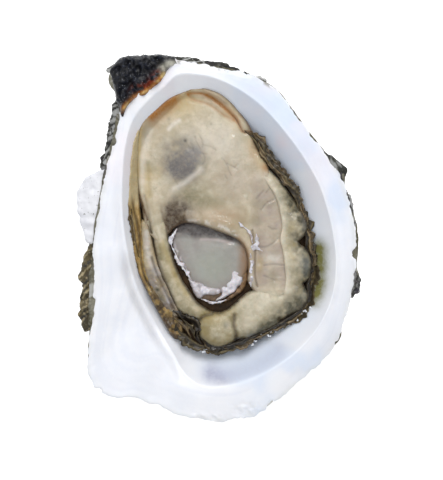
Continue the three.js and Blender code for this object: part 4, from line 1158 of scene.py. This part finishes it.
def flake(name, outline, level, tilt, material, ripple, seed, jag, thickness=0.5, chalk=0.0, slant=0.0):
    """A thin ragged plate that stands out from under the rim. tilt lowers it away from the cup."""
    def top(x, y, d):
        angle, r = polar(x, y)
        edge = edge_radius(angle)
        fluting = np.sin(angle * 60 + 2 * noise(x, y, 4, seed))
        return (edge_height(angle) + level - tilt * (r - edge) + ripple * fluting * ramp(r - edge, -1, 2)
            + 0.25 * noise(x, y, 1.5, seed + 1, 3) - rounded(d, 0.6, 0.3))

    slab(name, outline, top, lambda x, y, z: z - thickness,
        lambda x, y, d: {"recess": ramp(streaks(x, y, seed + 2, slant), 0.0, 0.3),
            "ray": 0.8 * ramp(noise(x, y, 2.4, seed + 3, 3), 0.2, 0.6) * (1 - chalk),
            "chalk": chalk * ramp(streaks(x, y, seed + 5, slant), 0.1, 0.5)}, material, ["lower_valve"],
        spacing=0.4, jag=jag, thin=True, seed=seed)


frill_crust = crust("frill_crust", (0.22, 0.17, 0.08), (0.05, 0.04, 0.02), 0.15, (0.48, 0.4, 0.24))
dark_crust = crust("dark_crust", (0.055, 0.055, 0.04), (0.012, 0.013, 0.014), 0.15)
flake("flake_left_white", [(-30, 20), (-33, 18.8), (-36.4, 17.4), (-38.8, 13.8), (-39.2, 10), (-38.6, 6),
    (-37.4, 2.4), (-36, -1), (-33, -1.4), (-32, 8)], -2.2, 0.1, glowing_pale_flake(), ripple=0.1, seed=501,
    jag=0.25, thickness=0.35)
flake("flake_left_frill", [(-33, 0), (-35.6, -1.6), (-37.4, -6), (-38.6, -10.6), (-37.8, -13),
    (-38.3, -16.6), (-38.8, -20), (-38, -23.4), (-35.6, -25.6), (-33.6, -22), (-33, -10)], -2.0, 0.5,
    frill_crust, ripple=0.8, seed=511, jag=0.6, chalk=0.8, slant=-0.8)
flake("flake_left_frill_low", [(-33, -3), (-36, -6), (-38, -12), (-37.2, -17), (-38, -21), (-36, -24),
    (-33, -20)], -3.4, 0.6, frill_crust, ripple=0.7, seed=521, jag=0.6, chalk=0.7, slant=-0.6)
flake("flake_umbo", [(-29.6, 44.8), (-27.6, 48.6), (-22, 50.3), (-14, 50.5), (-8, 49.6), (0, 48.1),
    (8, 45.9), (13, 43.6), (12, 42), (2, 44), (-12, 46), (-26, 45)], -1.3, 0.1, dark_crust, ripple=0.3,
    seed=531, jag=0.5, chalk=0.8)
flake("flake_umbo_low", [(-29.2, 45), (-26, 49.4), (-18, 50.6), (-6, 49.4), (4, 47.2), (4, 43), (-12, 45),
    (-24, 43)], -2.4, 0.1, dark_crust, ripple=0.3, seed=541, jag=0.5)
flake("flake_left_scales", [(-27, 40), (-28.4, 38), (-29.4, 35.4), (-30, 33), (-29.6, 31.4), (-30.4, 29),
    (-30.4, 27), (-31.4, 24), (-31.2, 21), (-29, 20), (-27, 28), (-26, 36)], -1.5, 0.3, dark_crust,
    ripple=0.5, seed=551, jag=0.6, chalk=0.5)
flake("flake_left_scales_low", [(-28, 37), (-29.6, 34), (-30.8, 30.4), (-31, 27), (-32, 23), (-31.4, 18),
    (-29, 20), (-27, 28)], -2.4, 0.2, dark_crust, ripple=0.5, seed=555, jag=0.6, chalk=0.3)
flake("flake_umbo_tip", [(-27, 43), (-29.2, 44.8), (-30.4, 46.2), (-29, 47.6), (-26, 49), (-24, 46)],
    -0.6, 0.1, dark_crust, ripple=0.5, seed=559, jag=0.5, chalk=0.6)
flake("flake_right", [(29, 24.4), (31.4, 23), (33.6, 21.4), (35, 19.4), (34.6, 16.6), (33, 15), (29, 19)],
    -0.8, 0.1, dark_crust, ripple=0.3, seed=561, jag=0.4, chalk=0.4)
flake("flake_right_low", [(33, -6), (38, -8.8), (39.1, -11.4), (38.3, -14.6), (36.4, -15.8), (32, -14)],
    -0.9, 0.1, dark_crust, ripple=0.3, seed=571, jag=0.4, chalk=0.3)
flake("flake_right_thin", [(34, 14), (36, 12.6), (37.2, 6), (38, 1), (38.2, -2), (34, -2), (33, 8)], -1.1,
    0.2, dark_crust, ripple=0.2, seed=581, jag=0.5, chalk=0.5)


# ---------------------------------------------------------------- floor, light and camera
def floor():
    bpy.ops.mesh.primitive_plane_add(size=6.0, location=(0, 0, 0))
    plane = bpy.context.object
    plane.name = "floor"
    material, _, shader = node_tree("floor")
    set_inputs(shader, {"Base Color": (0.95, 0.95, 0.95, 1), "Roughness": 0.9,
        "Emission Color": (1, 1, 1, 1), "Emission Strength": 0.6})
    plane.data.materials.append(material)


def area_light(name, place, size, power):
    light = bpy.data.lights.new(name, "AREA")
    light.size = size
    light.energy = power
    lamp = bpy.data.objects.new(name, light)
    lamp.location = place
    lamp.rotation_euler = (-Vector(place)).to_track_quat("-Z", "Y").to_euler()
    bpy.context.collection.objects.link(lamp)


def studio():
    floor()
    world = bpy.data.worlds.new("studio")
    world.use_nodes = True
    set_inputs(world.node_tree.nodes["Background"], {"Color": (0.93, 0.96, 1.0, 1), "Strength": 0.42})
    bpy.context.scene.world = world
    for lamp in (("hinge_side", (0.05, 0.55, 0.6), 0.5, 3.4), ("overhead", (-0.2, 0.1, 0.8), 0.6, 1.6),
            ("ventral_side", (0.1, -0.5, 0.6), 0.5, 0.9), ("glint", (0.16, 0.3, 0.7), 0.05, 0.35)):
        area_light(*lamp)
    bpy.context.scene.view_settings.view_transform = "Standard"


def camera():
    FRAME_HEIGHT = 0.132  # what the picture's height covers at the rim's level
    DISTANCE = 0.62
    SENSOR = 36.0
    data = bpy.data.cameras.new("camera")
    data.sensor_width = SENSOR
    data.lens = SENSOR * DISTANCE / FRAME_HEIGHT
    obj = bpy.data.objects.new("camera", data)
    obj.location = (0.0004, -0.00015, 0.024 + DISTANCE)
    bpy.context.collection.objects.link(obj)
    bpy.context.scene.camera = obj


studio()
camera()
